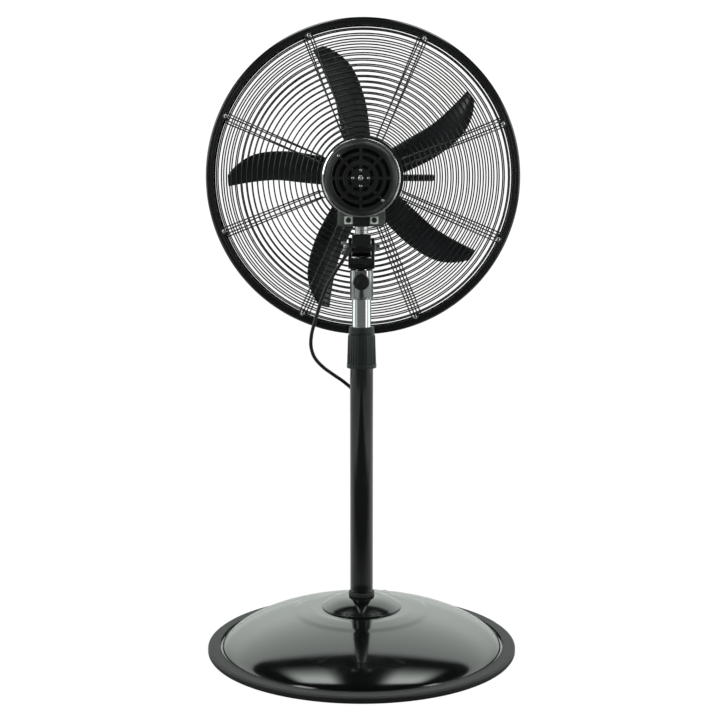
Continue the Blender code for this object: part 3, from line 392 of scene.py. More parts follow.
def trim_rubber_painted_shade(name, colour, shoulder):
    """The base's edge trim: a dusty flat top, and below its shoulder a side painted darker as shade."""
    body = Finish(name)
    # The side below the shoulder takes the dark tone as painted shade, the flat top the lighter tone with its dust.
    top = body.along("Z").eased(shoulder - 0.0022, shoulder)
    dust = body.noise(26.0, 5.0, 0.65).eased(0.35, 0.8)
    body.set(base_color=body.mixed(top * (0.8 + 0.2 * dust), shaded(colour, 0.16), shaded(colour, 1.35)))
    body.set(roughness=0.5 + 0.2 * top)
    return body.bump(body.noise(900.0, 3.0, 0.6), 0.0001, 0.5)


def plated(name, colour, rough=0.06):
    """Plating with faint smears and hairlines."""
    skin, smear = patched(name, colour, (22.0, 4.0, 0.6, 0.42, 0.8), 0.5, 0.86, metallic=1.0)
    hair = skin.noise(300.0, 2.0, 0.5, (1.0, 1.0, 0.08)).eased(0.55, 0.8)
    skin.set(roughness=rough + 0.05 * smear + 0.03 * hair)
    return skin.bump(hair, 0.00002, 0.4)


def machined(name, colour, rough=0.22):
    """Bright steel with a turned, brushed skin."""
    skin, tarnish = patched(name, colour, (18.0, 3.0, 0.5, 0.45, 0.8), 0.5, 0.8, metallic=1.0)
    lines = skin.noise(60.0, 2.0, 0.5, (0.12, 14.0, 0.12))
    skin.set(roughness=rough + 0.06 * lines + 0.05 * tarnish)
    return skin.bump(lines, 0.00002, 0.2)


def cast_metal(name, colour):
    """Cast iron: a pitted skin with dull bloom."""
    skin, _ = patched(name, colour, (28.0, 4.0, 0.6, 0.45, 0.72), 0.6, 1.9, metallic=0.75)
    pits = skin.noise(350.0, 5.0, 0.7)
    skin.set(roughness=0.48 + 0.2 * pits)
    return skin.bump(pits, 0.00025, 0.7)


def satin_blade(name, colour):
    """Satin enamel on pressed blades: a cool sheen with soft streaks along the sweep."""
    skin, cloud = patched(name, colour, (14.0, 4.0, 0.55, 0.35, 0.75), 1.0, 1.55)
    skin.set(roughness=0.27 + 0.1 * cloud, coat_weight=0.25, coat_roughness=0.16)
    return skin.bump(skin.noise(700.0, 2.0, 0.5), 0.00005, 0.5)


def wound_wire(name, colour):
    """Varnished winding wire, in turns round the motor's axis."""
    skin = Finish(name)
    turns = (skin.along("Y") * 9000.0).sine() * 0.5 + 0.5
    skin.set(metallic=1.0, base_color=skin.mixed(turns, shaded(colour, 0.45), colour))
    skin.set(roughness=0.42 - 0.15 * turns)
    return skin.bump(turns, 0.0002, 0.8)


def laminated(name, colour):
    """A stack of half-millimetre core sheets."""
    skin = Finish(name)
    sheets = ((skin.along("Y") * 12566.0).sine() * 0.5 + 0.5) ** 4.0
    rust = skin.noise(60.0, 5.0, 0.7).eased(0.55, 0.8)
    skin.set(metallic=0.9, base_color=skin.mixed(rust * 0.6, colour, (0.12, 0.055, 0.03)))
    skin.set(roughness=0.4 + 0.25 * rust)
    return skin.bump(sheets, -0.0001, 0.8)


def lead_sheath(name, colour):
    """Soft sheath of a mains lead, dull with a fine grain."""
    skin, worn = patched(name, colour, (70.0, 4.0, 0.6, 0.45, 0.78), 0.7, 2.0)
    skin.set(roughness=0.36 + 0.14 * worn)
    return skin.bump(skin.noise(1100.0, 2.0, 0.5), 0.00006, 0.5)


FINISHES = {}
PALE_ZINC = (0.8, 0.81, 0.8)


def make_finishes(colours):
    """Every finish by its slot's name."""
    trim_shoulder = TRIM.high.z - 0.0006
    for slot, maker, name, colour, *sizes in (
        ("black_enamel", gloss_enamel, "black_enamel_gloss", colours.enamel),
        ("black_plastic", moulded_plastic, "black_plastic_moulded", colours.plastic),
        ("rubber", soft_rubber, "rubber_soft", colours.rubber),
        ("edge_rubber", trim_rubber_painted_shade, "rubber_edge", colours.rubber, trim_shoulder),
        ("chrome", plated, "chrome_plate", colours.chrome),
        ("gunmetal", plated, "gunmetal_plate", colours.gunmetal, 0.1),
        ("bright_steel", machined, "bright_steel_turned", colours.steel),
        ("dull_zinc", machined, "dull_zinc_cast", colours.zinc, 0.3),
        ("pale_zinc", moulded_plastic, "pale_zinc_milled", PALE_ZINC, 0.3, 600.0),
        ("cast_iron", cast_metal, "cast_iron_skin", colours.iron),
        ("collar_plastic", moulded_plastic, "collar_plastic_satin", colours.collar, 0.33, 1100.0),
        ("blade_enamel", satin_blade, "blade_enamel_satin", colours.blade),
        ("copper", wound_wire, "copper_winding", colours.copper),
        ("steel_stack", laminated, "steel_stack_sheets", colours.laminate),
        ("nylon", moulded_plastic, "nylon_turned", colours.nylon, 0.45, 900.0),
        ("brass", machined, "brass_drawn", colours.brass, 0.2),
        ("cord_pvc", lead_sheath, "cord_pvc_sheath", colours.lead),
    ):
        FINISHES[slot] = maker(name, tuple(colour), *sizes)


def eased_between(value, start, end):
    """0 before start, 1 after end and a smooth step between them."""
    share = min(1.0, max(0.0, (value - start) / (end - start)))
    return share * share * (3 - 2 * share)


def smooth(points, position):
    """The value at a position on a curve through (position, value) points."""
    index = 0
    while index < len(points) - 2 and points[index + 1][0] < position:
        index += 1
    (x0, y0), (x1, y1) = points[index], points[index + 1]
    before = points[max(index - 1, 0)]
    after = points[min(index + 2, len(points) - 1)]
    slope0 = (y1 - before[1]) / (x1 - before[0])
    slope1 = (after[1] - y0) / (after[0] - x0)
    width = x1 - x0
    t = (position - x0) / width
    ease = y0 * (1 + 2 * t) * (1 - t) ** 2 + y1 * t * t * (3 - 2 * t)
    return ease + slope0 * width * t * (1 - t) ** 2 - slope1 * width * t * t * (1 - t)


def filleted(points, closed=False, steps=4):
    """An outline whose corners are rounded by the third number of their points."""
    result = []
    count = len(points)
    for k, point in enumerate(points):
        here = Vector(point[:2])
        radius = point[2] if len(point) > 2 else 0.0
        if radius == 0.0 or (not closed and k in (0, count - 1)):
            result.append(here)
            continue
        back = Vector(points[k - 1][:2]) - here
        ahead = Vector(points[(k + 1) % count][:2]) - here
        reach = radius / math.tan(back.angle(ahead) / 2)
        reach = min(reach, back.length * 0.49, ahead.length * 0.49)
        start = here + back.normalized() * reach
        end = here + ahead.normalized() * reach
        for i in range(steps + 1):
            t = i / steps
            result.append(start * (1 - t) ** 2 + here * 2 * t * (1 - t) + end * t * t)
    return result


def near(x, y, *steps):
    """Points of an outline in tenths of a millimetre from a corner, each with an optional fillet."""
    return [(x + across / 1e4, y + up / 1e4, *(size / 1e4 for size in fillet)) for across, up, *fillet in steps]


def around(count):
    """Angles a step apart round a full turn."""
    return [math.tau * k / count for k in range(count)]


def hexagon(radius, first):
    return [(radius * math.cos(a), radius * math.sin(a)) for a in (math.radians(60 * k + first) for k in range(6))]


def arc(radius, start, end, steps, centre=(0.0, 0.0)):
    """Points on part of a circle, in degrees."""
    angles = [math.radians(start + (end - start) * k / steps) for k in range(steps + 1)]
    return [(centre[0] + radius * math.cos(a), centre[1] + radius * math.sin(a)) for a in angles]


def curve_through(points, step):
    """Points a step apart on a smooth curve through these ones."""
    knots = [Vector(p) for p in points]
    knots = [2 * knots[0] - knots[1], *knots, 2 * knots[-1] - knots[-2]]
    fine = []
    for a, b, c, d in zip(knots, knots[1:], knots[2:], knots[3:]):
        t0 = 0.0
        t1 = t0 + math.sqrt((b - a).length)
        t2 = t1 + math.sqrt((c - b).length)
        t3 = t2 + math.sqrt((d - c).length)
        count = max(4, int((c - b).length / 0.0012))
        for k in range(count):
            t = t1 + (t2 - t1) * k / count
            ab = a * ((t1 - t) / (t1 - t0)) + b * ((t - t0) / (t1 - t0))
            bc = b * ((t2 - t) / (t2 - t1)) + c * ((t - t1) / (t2 - t1))
            cd = c * ((t3 - t) / (t3 - t2)) + d * ((t - t2) / (t3 - t2))
            abc = ab * ((t2 - t) / (t2 - t0)) + bc * ((t - t0) / (t2 - t0))
            bcd = bc * ((t3 - t) / (t3 - t1)) + cd * ((t - t1) / (t3 - t1))
            fine.append(abc * ((t2 - t) / (t2 - t1)) + bcd * ((t - t1) / (t2 - t1)))
    fine.append(knots[-2])
    return spaced(fine, step)


def spaced(points, step):
    """The same line with its points a step apart."""
    lengths = [0.0]
    for a, b in zip(points, points[1:]):
        lengths.append(lengths[-1] + (b - a).length)
    count = max(1, round(lengths[-1] / step))
    result = []
    index = 0
    for k in range(count + 1):
        goal = lengths[-1] * k / count
        while index < len(points) - 2 and lengths[index + 1] < goal:
            index += 1
        part = (goal - lengths[index]) / max(lengths[index + 1] - lengths[index], 1e-9)
        result.append(points[index].lerp(points[index + 1], min(1.0, part)))
    return result


def length_of(points):
    return sum((b - a).length for a, b in zip(points, points[1:]))


class Shape:
    """Points and faces gathered for one piece."""

    def __init__(self):
        self.points = []
        self.faces = []

    def loft(self, rows, closed=True, joined=False, hole=None):
        """A skin over rows of points. A row of one point closes to a tip."""
        starts = []
        for row in rows:
            starts.append((len(self.points), len(row)))
            self.points += [Vector(p) for p in row]
        pairs = list(zip(starts, starts[1:]))
        if joined:
            pairs.append((starts[-1], starts[0]))
        for i, ((a, n), (b, m)) in enumerate(pairs):
            count = max(n, m)
            for k in range(count if closed else count - 1):
                if hole and hole(i, k):
                    continue
                j = (k + 1) % count
                if n == 1:
                    self.faces.append((a, b + j, b + k))
                elif m == 1:
                    self.faces.append((a + k, a + j, b))
                else:
                    self.faces.append((a + k, a + j, b + j, b + k))
        return self

    def turned(self, profile, sides=96, joined=False):
        """A profile of (radius, height) turned round Z."""
        rows = []
        for r, z, *_ in profile:
            if r < 1e-6:
                rows.append([(0.0, 0.0, z)])
            else:
                rows.append([(r * math.cos(a), r * math.sin(a), z) for a in around(sides)])
        return self.loft(rows, joined=joined)

    def prism(self, outline, low, high):
        """An outline in XY raised from low to high."""
        start = len(self.points)
        count = len(outline)
        self.points += [Vector((p[0], p[1], z)) for z in (low, high) for p in outline]
        self.faces.append(tuple(start + k for k in reversed(range(count))))
        self.faces.append(tuple(start + count + k for k in range(count)))
        for k in range(count):
            j = (k + 1) % count
            self.faces.append((start + k, start + j, start + count + j, start + count + k))
        return self

    def block(self, low, high):
        outline = [(low[0], low[1]), (high[0], low[1]), (high[0], high[1]), (low[0], high[1])]
        return self.prism(outline, low[2], high[2])

    def tube(self, centres, radii, sides=16):
        """A closed tube round a line of points."""
        side = None
        rows = [[centres[0]]]
        for i, centre in enumerate(centres):
            ahead = centres[min(i + 1, len(centres) - 1)] - centres[max(i - 1, 0)]
            ahead.normalize()
            if side is None:
                side = ahead.orthogonal().normalized()
            side = (side - ahead * side.dot(ahead)).normalized()
            up = ahead.cross(side)
            rows.append([centre + radii[i] * (math.cos(a) * side + math.sin(a) * up) for a in around(sides)])
        rows.append([centres[-1]])
        return self.loft(rows)

    def moved(self, matrix):
        self.points = [matrix @ p for p in self.points]
        return self

    def add(self, other):
        start = len(self.points)
        self.points += other.points
        self.faces += [tuple(start + i for i in face) for face in other.faces]
        return self

    def made(self, name, finish):
        """The shape as a new object with its faces pointing outwards."""
        mesh = bpy.data.meshes.new(name)
        mesh.from_pydata([tuple(p) for p in self.points], [], self.faces)
        work = bmesh.new()
        work.from_mesh(mesh)
        bmesh.ops.remove_doubles(work, verts=work.verts, dist=1e-6)
        bmesh.ops.recalc_face_normals(work, faces=work.faces)
        work.to_mesh(mesh)
        work.free()
        obj = bpy.data.objects.new(name, mesh)
        bpy.context.scene.collection.objects.link(obj)
        mesh.materials.append(FINISHES[finish])
        return obj

    def piece(self, name, finish, body, *nodes, walls=None, bevel=None, place=None, sharp=32.0):
        """The shape as a finished piece: given walls or bevelled edges, settled and put on its body."""
        obj = self.made(name, finish)
        if walls:
            with_walls(obj, *walls)
        if bevel:
            with_bevel(obj, *bevel)
        return fit(settle(obj, place, sharp), body, finish, *nodes)


def with_walls(obj, thickness, offset=-1.0):
    wall = obj.modifiers.new("wall", "SOLIDIFY")
    wall.thickness = thickness
    wall.offset = offset
    return obj


def with_bevel(obj, width, segments=3, angle=30.0):
    edge = obj.modifiers.new("edges", "BEVEL")
    edge.width = width
    edge.segments = segments
    edge.limit_method = "ANGLE"
    edge.angle_limit = math.radians(angle)
    return obj


def cut(obj, tool):
    """A shape cut out of an object. The tool is removed."""
    knife = tool.made(obj.name + "_tool", "cast_iron")
    step = obj.modifiers.new("cut", "BOOLEAN")
    step.operation = "DIFFERENCE"
    step.solver = "EXACT"
    step.object = knife
    settle(obj)
    bpy.data.objects.remove(knife)
    return obj


def settle(obj, matrix=None, sharp=32.0):
    """Its modifiers made real and its place put in its mesh, with smooth faces and sharp corners."""
    graph = bpy.context.evaluated_depsgraph_get()
    graph.update()
    mesh = bpy.data.meshes.new_from_object(
        obj.evaluated_get(graph), preserve_all_data_layers=True, depsgraph=graph
    )
    mesh.transform((matrix or Matrix.Identity(4)) @ obj.matrix_world)
    old = obj.data
    obj.modifiers.clear()
    obj.matrix_world = Matrix.Identity(4)
    obj.data = mesh
    bpy.data.meshes.remove(old)
    mesh.name = obj.name
    mesh.polygons.foreach_set("use_smooth", [True] * len(mesh.polygons))
    mesh.set_sharp_from_angle(angle=math.radians(sharp))
    return obj


def joined(name, *objects):
    """Several settled objects as one."""
    work = bmesh.new()
    materials = []
    for obj in objects:
        slots = []
        for slot in obj.material_slots:
            if slot.material not in materials:
                materials.append(slot.material)
            slots.append(materials.index(slot.material))
        first = len(work.faces)
        work.from_mesh(obj.data)
        work.faces.ensure_lookup_table()
        for face in work.faces[first:]:
            face.material_index = slots[face.material_index]
    mesh = bpy.data.meshes.new(name)
    work.to_mesh(mesh)
    work.free()
    for material in materials:
        mesh.materials.append(material)
    for obj in objects:
        bpy.data.objects.remove(obj)
    whole = bpy.data.objects.new(name, mesh)
    bpy.context.scene.collection.objects.link(whole)
    return whole


def fit(obj, body, slot, *nodes):
    """The piece rides on its body and stands for these nodes. The slot is not used."""
    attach(obj, body)
    if nodes:
        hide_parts(*nodes)
    return obj


def lathed(name, finish, outline, sides, body=None, *nodes, ring=True, place=None, sharp=40.0, slot=None):
    """A piece turned from its outline, which is a ring's section or else ends on the axis."""
    obj = Shape().turned(filleted(outline, ring), sides, ring).made(name, finish)
    if place is None and body in ("head", "rotor"):
        place = HEAD
    settle(obj, place, sharp)
    return fit(obj, body, slot or finish, *nodes) if body else obj


def new_tree(name, sockets):
    """A Geometry Nodes tree with its inputs, and those inputs as wires by their names."""
    tree = bpy.data.node_groups.new(name, "GeometryNodeTree")
    face = tree.interface
    face.new_socket("Geometry", in_out="OUTPUT", socket_type="NodeSocketGeometry")
    face.new_socket("Geometry", in_out="INPUT", socket_type="NodeSocketGeometry")
    for label, kind in sockets.items():
        face.new_socket(label, in_out="INPUT", socket_type="NodeSocket" + kind)
    graph = Graph(tree)
    source = tree.nodes.new("NodeGroupInput")
    wires = {s.name: Wire(graph, s) for s in source.outputs if s.name}
    return graph, wires


def end_tree(graph, shape, material):
    """Makes instances real, sets the material and ends the tree."""
    real = graph.node("GeometryNodeRealizeInstances", {"Geometry": shape})
    coated = graph.node("GeometryNodeSetMaterial", {"Geometry": real, "Material": material})
    end = graph.tree.nodes.new("NodeGroupOutput")
    graph.tree.links.new(coated.socket, end.inputs[0])


def grown(name, tree, values, finish):
    """An empty mesh grown by a Geometry Nodes tree and made plain."""
    mesh = bpy.data.meshes.new(name)
    obj = bpy.data.objects.new(name, mesh)
    bpy.context.scene.collection.objects.link(obj)
    for number, each in enumerate(values):
        step = obj.modifiers.new(f"{name}_{number}", "NODES")
        step.node_group = tree
        given = {**each, "Finish": FINISHES[finish]}
        for item in tree.interface.items_tree:
            if item.in_out == "INPUT" and item.name in given:
                step[item.identifier] = given[item.name]
    return obj


def cage_tree():
    """Rings and hairpin spokes of a wire guard, round Z."""
    numbers = (
        "Inner radius", "Edge radius", "Inner height", "Edge height", "Fullness", "Wire thickness",
        "Leg gap", "Spoke start", "Spoke end", "Spoke turn", "Side", "Lift",
    )
    sockets = {name: "Float" for name in numbers}
    sockets.update({"Rings": "Int", "Spokes": "Int", "Finish": "Material"})
    graph, given = new_tree("wire_guard", sockets)
    inner, edge, inner_height, edge_height, fullness, wire, gap, start, end, first, side, raised = (
        given[name] for name in numbers
    )

    def depth(radius):
        share = (radius / edge).at_most(1.0)
        return edge_height + (inner_height - edge_height) * (1.0 - share ** fullness)

    def place(x, y, z):
        return graph.node("ShaderNodeCombineXYZ", {"X": x, "Y": y, "Z": z})

    def wired(lines, thickness):
        section = {"Resolution": 8, "Radius": thickness * 0.5}
        profile = graph.node("GeometryNodeCurvePrimitiveCircle", section)
        return graph.node("GeometryNodeCurveToMesh", {"Curve": lines, "Profile Curve": profile})

    def instanced(spread):
        copies = graph.node("GeometryNodeInstanceOnPoints", spread)
        return graph.node("GeometryNodeRealizeInstances", {"Geometry": copies})

    index = graph.node("GeometryNodeInputIndex")
    radius = inner + (edge - inner) * index / (given["Rings"] - 1.0)
    centres = graph.node(
        "GeometryNodePoints", {"Count": given["Rings"], "Position": place(0.0, 0.0, depth(radius))}
    )
    circle = graph.node("GeometryNodeCurvePrimitiveCircle", {"Resolution": 120, "Radius": 1.0})
    spread = {"Points": centres, "Instance": circle, "Scale": place(radius, radius, radius)}
    rings = instanced(spread)

    half = gap * 0.5
    run = end - start
    bend = half * math.pi
    line = graph.node("GeometryNodeCurvePrimitiveLine", {"End": (1.0, 0.0, 0.0)})
    line = graph.node("GeometryNodeResampleCurve", {"Curve": line, "Count": 240})
    way = graph.node("GeometryNodeSplineParameter", out="Factor") * (run * 2.0 + bend)
    out_leg = way.at_most(run)
    swing = ((way - run) / half).between(0.0, math.pi)
    back_leg = (way - run - bend).at_least(0.0)
    reach = start + out_leg - back_leg + half * swing.sine()
    lift = raised * reach.eased(0.26, 0.27)
    height = depth(reach) + side * (wire * 0.96 + lift)
    bent = place(reach, half * swing.cosine(), height)
    hairpin = graph.node("GeometryNodeSetPosition", {"Geometry": line, "Position": bent})
    turn = first + index * math.tau / given["Spokes"]
    starts = graph.node("GeometryNodePoints", {"Count": given["Spokes"]})
    spread = {"Points": starts, "Instance": hairpin, "Rotation": place(0.0, 0.0, turn)}
    spokes = instanced(spread)
    both = graph.node(
        "GeometryNodeJoinGeometry", {"Geometry": [wired(rings, wire), wired(spokes, wire)]}
    )
    end_tree(graph, both, given["Finish"])
    return graph.tree


def circle_tree():
    """Copies of a part on a circle round Z, added to what is already there."""
    sockets = {"Part": "Object", "Count": "Int", "Radius": "Float", "First angle": "Float"}
    sockets.update({"Height": "Float", "Finish": "Material"})
    graph, given = new_tree("parts_on_a_circle", sockets)
    index = graph.node("GeometryNodeInputIndex")
    turn = given["First angle"] + index * math.tau / given["Count"]
    x = turn.cosine() * given["Radius"]
    y = turn.sine() * given["Radius"]
    place = graph.node("ShaderNodeCombineXYZ", {"X": x, "Y": y, "Z": given["Height"]})
    spin = graph.node("ShaderNodeCombineXYZ", {"Z": turn})
    points = graph.node("GeometryNodePoints", {"Count": given["Count"], "Position": place})
    part = graph.node("GeometryNodeObjectInfo", {"Object": given["Part"]}, out="Geometry")
    spread = {"Points": points, "Instance": part, "Rotation": spin}
    copies = graph.node("GeometryNodeInstanceOnPoints", spread)
    both = graph.node("GeometryNodeJoinGeometry", {"Geometry": [given["Geometry"], copies]})
    end_tree(graph, both, given["Finish"])
    return graph.tree


def on_circles(name, part, finish, circles):
    """Copies of a part on circles of (count, radius, first angle, height). The part is removed."""
    names = ("Part", "Count", "Radius", "First angle", "Height")
    values = [
        dict(zip(names, (part, count, float(radius), math.radians(first), float(height))))
        for count, radius, first, height in circles
    ]
    obj = grown(name, bpy.data.node_groups["parts_on_a_circle"], values, finish)
    settle(obj)
    bpy.data.objects.remove(part)
    return obj


def cross_screw(name, radius, height, finish):
    """A domed screw head on Z's negative side with a cross recess, its seat at height 0."""
    sides = 24
    radii = (0.0, 0.16, 0.45, 0.52, 0.8, 0.96, 1.0)
    rows = []
    for share in radii:
        r = radius * share
        row = []
        for k in range(1 if share == 0.0 else sides):
            a = math.tau * k / sides
            z = -height * (1 - share**4 * 0.55)
            if share <= 0.16 or (share <= 0.46 and (k % 6) in (0, 1, 5) and (k + 1) % 6 < 2):
                z += height * 0.55
            row.append((r * math.cos(a), r * math.sin(a), z))
        rows.append(row)
    rows.append([(p[0], p[1], 0.0) for p in rows[-1]])
    rows.append([(0.0, 0.0, 0.0)])
    return settle(Shape().loft(rows).made(name, finish), sharp=40.0)


def lead_path():
    """The centre line of the mains lead: the run, the hank's two lanes and folds, and the end on top."""
    x, y = HANK_MIDDLE
    left = x - HANK_HALF_RUN
    right = x + HANK_HALF_RUN
    near = y - HANK_FOLD
    lanes = [(right - 0.025 * k, near) for k in range(1, 3)]
    lanes += arc(HANK_FOLD, -90, -270, 12, (left, y))
    lanes += [(left + 0.025 * k, y + HANK_FOLD) for k in range(1, 3)]
    points = LEAD_RUN + [(p, q, HANK_HEIGHT) for p, q in lanes]
    start = LEAD_END[0][2] - 0.0004
    for k, (p, q) in enumerate(arc(HANK_FOLD, 90, -15, 7, (right, y))):
        points.append((p, q, HANK_HEIGHT + (start - HANK_HEIGHT) * eased_between(k, 0, 7)))
    return curve_through(points + LEAD_END, 0.0022)


class FanPiece:
    """What the fan's operators share."""

    bl_options = {"INTERNAL"}

    def execute(self, context):
        self.make(context.scene.fan_sizes)
        return {"FINISHED"}


class FAN_OT_stage(bpy.types.Operator):
    """Camera, floor, backdrop and lights"""

    bl_idname = "fan.stage"
    bl_label = "Stage"

    def execute(self, context):
        scene = context.scene
        camera = bpy.data.objects.new("camera", bpy.data.cameras.new("camera"))
        camera.location = CAMERA_PLACE
        camera.rotation_euler = [math.radians(angle) for angle in CAMERA_TURN]
        camera.data.lens = CAMERA_LENS
        camera.data.sensor_width = 36.0
        scene.collection.objects.link(camera)
        scene.camera = camera
        scene.view_settings.view_transform = "Standard"

        make_finishes(scene.fan_colours)
        floor = Finish("studio_floor")
        tone = tuple(scene.fan_colours.floor)
        wear = floor.noise(3.0, 4.0, 0.6)
        floor.set(base_color=floor.mixed(wear, tone, shaded(tone, 0.97)), roughness=0.75)
        glow = floor.node("ShaderNodeEmission", {"Strength": BACKDROP_WHITE})
        seen = floor.node("ShaderNodeLightPath", out="Is Camera Ray")
        paint = Wire(floor, floor.shader.outputs[0])
        blend = floor.node("ShaderNodeMixShader", {0: seen * 0.93, 1: paint, 2: glow})
        across = floor.along("X")
        before = (1.0 - floor.along("Y").eased(-0.6, 0.2)) * (1.0 - (across * across).eased(0.8, 4.0))
        mirrored = floor.node("ShaderNodeLightPath", out="Is Glossy Ray")
        dark = floor.node("ShaderNodeEmission", {"Strength": 0.02})
        floor.show(floor.node("ShaderNodeMixShader", {0: mirrored * before * 0.9, 1: blend, 2: dark}))
        FINISHES["floor"] = floor.material
        slab = Shape().turned([(0.0, 0.0), (9.0, 0.0), (9.0, -0.01), (0.0, -0.01)], 64)
        settle(slab.made("studio_floor", "floor"))

        world = bpy.data.worlds.new("studio")
        scene.world = world
        world.use_nodes = True
        sky = Graph(world.node_tree)
        sky.tree.nodes.clear()
        way = sky.node("ShaderNodeTexCoord", out="Generated")
        x, y, z = (sky.node("ShaderNodeSeparateXYZ", {"Vector": way}, out=axis) for axis in "XYZ")
        wall = (y - 0.5 * z.eased(0.35, 0.7)).eased(-0.05, 0.05)
        far = wall * (0.95 + 0.65 * z.eased(0.1, 0.45))
        near = (1.0 - y.eased(-0.45, 0.05)) * (1.0 - z.eased(0.45, 0.8)) * 0.14
        across = x * x
        sides = across.eased(0.45, 0.95) * (1.0 - z.eased(0.3, 0.75)) * 0.55
        column = across.eased(0.012, 0.06) * (1.0 - across.eased(0.17, 0.34)) * z.eased(0.7, 0.82)
        window = column * (1.0 - y.eased(-0.02, 0.38)) * y.eased(-0.22, -0.08)
        light = 0.015 + far + near + sides + 5.0 * window
        tone = sky.node("ShaderNodeCombineColor", {0: light * 0.93, 1: light, 2: light * 0.95})
        seen = sky.node("ShaderNodeLightPath", out="Is Camera Ray")
        room = sky.node("ShaderNodeBackground", {"Color": tone, "Strength": 1.0})
        white = sky.node("ShaderNodeBackground", {"Color": (1.0, 1.0, 1.0, 1.0), "Strength": BACKDROP_WHITE})
        both = sky.node("ShaderNodeMixShader", {0: seen, 1: room, 2: white})
        end = sky.tree.nodes.new("ShaderNodeOutputWorld")
        sky.tree.links.new(both.socket, end.inputs["Surface"])

        self.lamp("key", (-2.4, -2.2, 1.9), (0.0, 0.0, 0.85), 0.9, 1.6, 18.0)
        self.lamp("fill", (2.7, -1.5, 1.4), (0.0, 0.0, 0.75), 0.6, 1.8, 12.0)
        self.lamp("front", (1.6, 2.6, 2.2), (0.0, 0.0, 0.7), 1.6, 1.2, 35.0, False)
        return {"FINISHED"}

    @staticmethod
    def lamp(name, place, target, width, height, power, mirrored=True):
        data = bpy.data.lights.new(name, "AREA")
        data.shape = "RECTANGLE"
        data.size = width
        data.size_y = height
        data.energy = power
        lamp = bpy.data.objects.new(name, data)
        lamp.location = place
        lamp.rotation_euler = (Vector(target) - Vector(place)).to_track_quat("-Z", "Y").to_euler()
        lamp.visible_glossy = mirrored
        bpy.context.scene.collection.objects.link(lamp)


class FAN_OT_lead(FanPiece, bpy.types.Operator):
    """The mains lead with its gland, tie, plug and pins"""

    bl_idname = "fan.lead"
    bl_label = "Mains lead"

    def make(self, sizes):
        radius = sizes.lead_thickness / 2
        path = lead_path()
        lead = Shape().tube(path, [radius] * len(path), 14).made("mains_lead", "cord_pvc")
        settle(lead, sharp=60.0)
        gland, tie, plug, pins = self.gland(), self.tie(), self.plug(), self.pins()
        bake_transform(lead)
        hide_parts("power_cord", "cord_hank", "cord_tail")
        round(length_of(path), 3)

    def gland(self):
        """The strain relief: a tapering sleeve with ribs."""
        run = curve_through(GLAND_RUN, 0.0006)
        count = len(run) - 1
        taper = [(k / (len(GLAND_RADII) - 1), r) for k, r in enumerate(GLAND_RADII)]
        widths = []
        for k in range(count + 1):
            share = k / count
            ribbed = math.sin(share * math.tau * 7) > 0.1 and 0.12 < share < 0.9
            widths.append(smooth(taper, share) - GLAND_RIB + GLAND_RIB * ribbed)
        return Shape().tube(run, widths, 24).piece("lead_gland", "rubber", "mast", "cord_gland", sharp=50.0)

    def tie(self):
        """The strap round the hank."""
        low, high = TIE.low, TIE.high
        corners = [(low.y, low.z), (high.y, low.z), (high.y, high.z), (low.y, high.z)]
        outline = filleted([(*p, 0.0035) for p in corners], True, 5)
        middle = Vector((TIE.middle.y, TIE.middle.z))
        inside = [p - (p - middle).normalized() * 0.0011 for p in outline]
        lines = ((low.x, outline), (high.x, outline), (high.x, inside), (low.x, inside))
        rows = [[(x, p.x, p.y) for p in line] for x, line in lines]
        strap = Shape().loft(rows, joined=True)
        return strap.piece("lead_tie", "rubber", "stand", "cord_tie", bevel=(0.0003, 2))

    def plug(self):
        """The plug's moulding, a row of squarish sections of (share of the length, width, height)."""
        x, y, z = PLUG.high.x, PLUG.middle.y, PLUG.middle.z
        size = (PLUG.high - PLUG.low) / 2
        sections = (
            (0.0, 0.2, 0.42), (0.012, 0.3, 0.55), (0.1, 0.42, 0.62), (0.16, 0.5, 0.7), (0.2, 0.52, 0.72),
            (0.3, 0.72, 0.84), (0.44, 0.92, 0.96), (0.6, 1, 1), (0.9, 1, 1), (0.975, 0.97, 0.95), (1, 0.88, 0.82),
        )
        rows = [[(x, y, z)]]
        for share, wide, tall in sections:
            row = []
            for a in around(40):
                c, s = (math.copysign(abs(v) ** 0.62, v) for v in (math.cos(a), math.sin(a)))
                row.append((x - 2 * size.x * share, y + size.y * wide * c, z + size.z * tall * s))
            rows.append(row)
        rows.append([(PLUG.low.x, y, z)])
        return Shape().loft(rows).piece("plug_moulding", "black_plastic", "stand", "plug_body", sharp=50.0)

    def pins(self):
        """The plug's two pins, thicker towards their tips."""
        prongs = Shape()
        for pin in PINS:
            r = (pin.high.y - pin.low.y) / 2
            reach = pin.high.x - pin.low.x
            thin = r * 0.9
            step = reach * 0.5
            profile = filleted([(0, 0), (thin, 0), (thin, step), (r, step), (r, reach, r * 0.6), (0, reach)])
            place = Matrix.Translation((pin.high.x, pin.middle.y, pin.middle.z))
            prongs.add(Shape().turned(profile, 28).moved(place @ AGAINST_X))
        return prongs.piece("plug_pins", "brass", "stand", "plug_pin_1", "plug_pin_2")


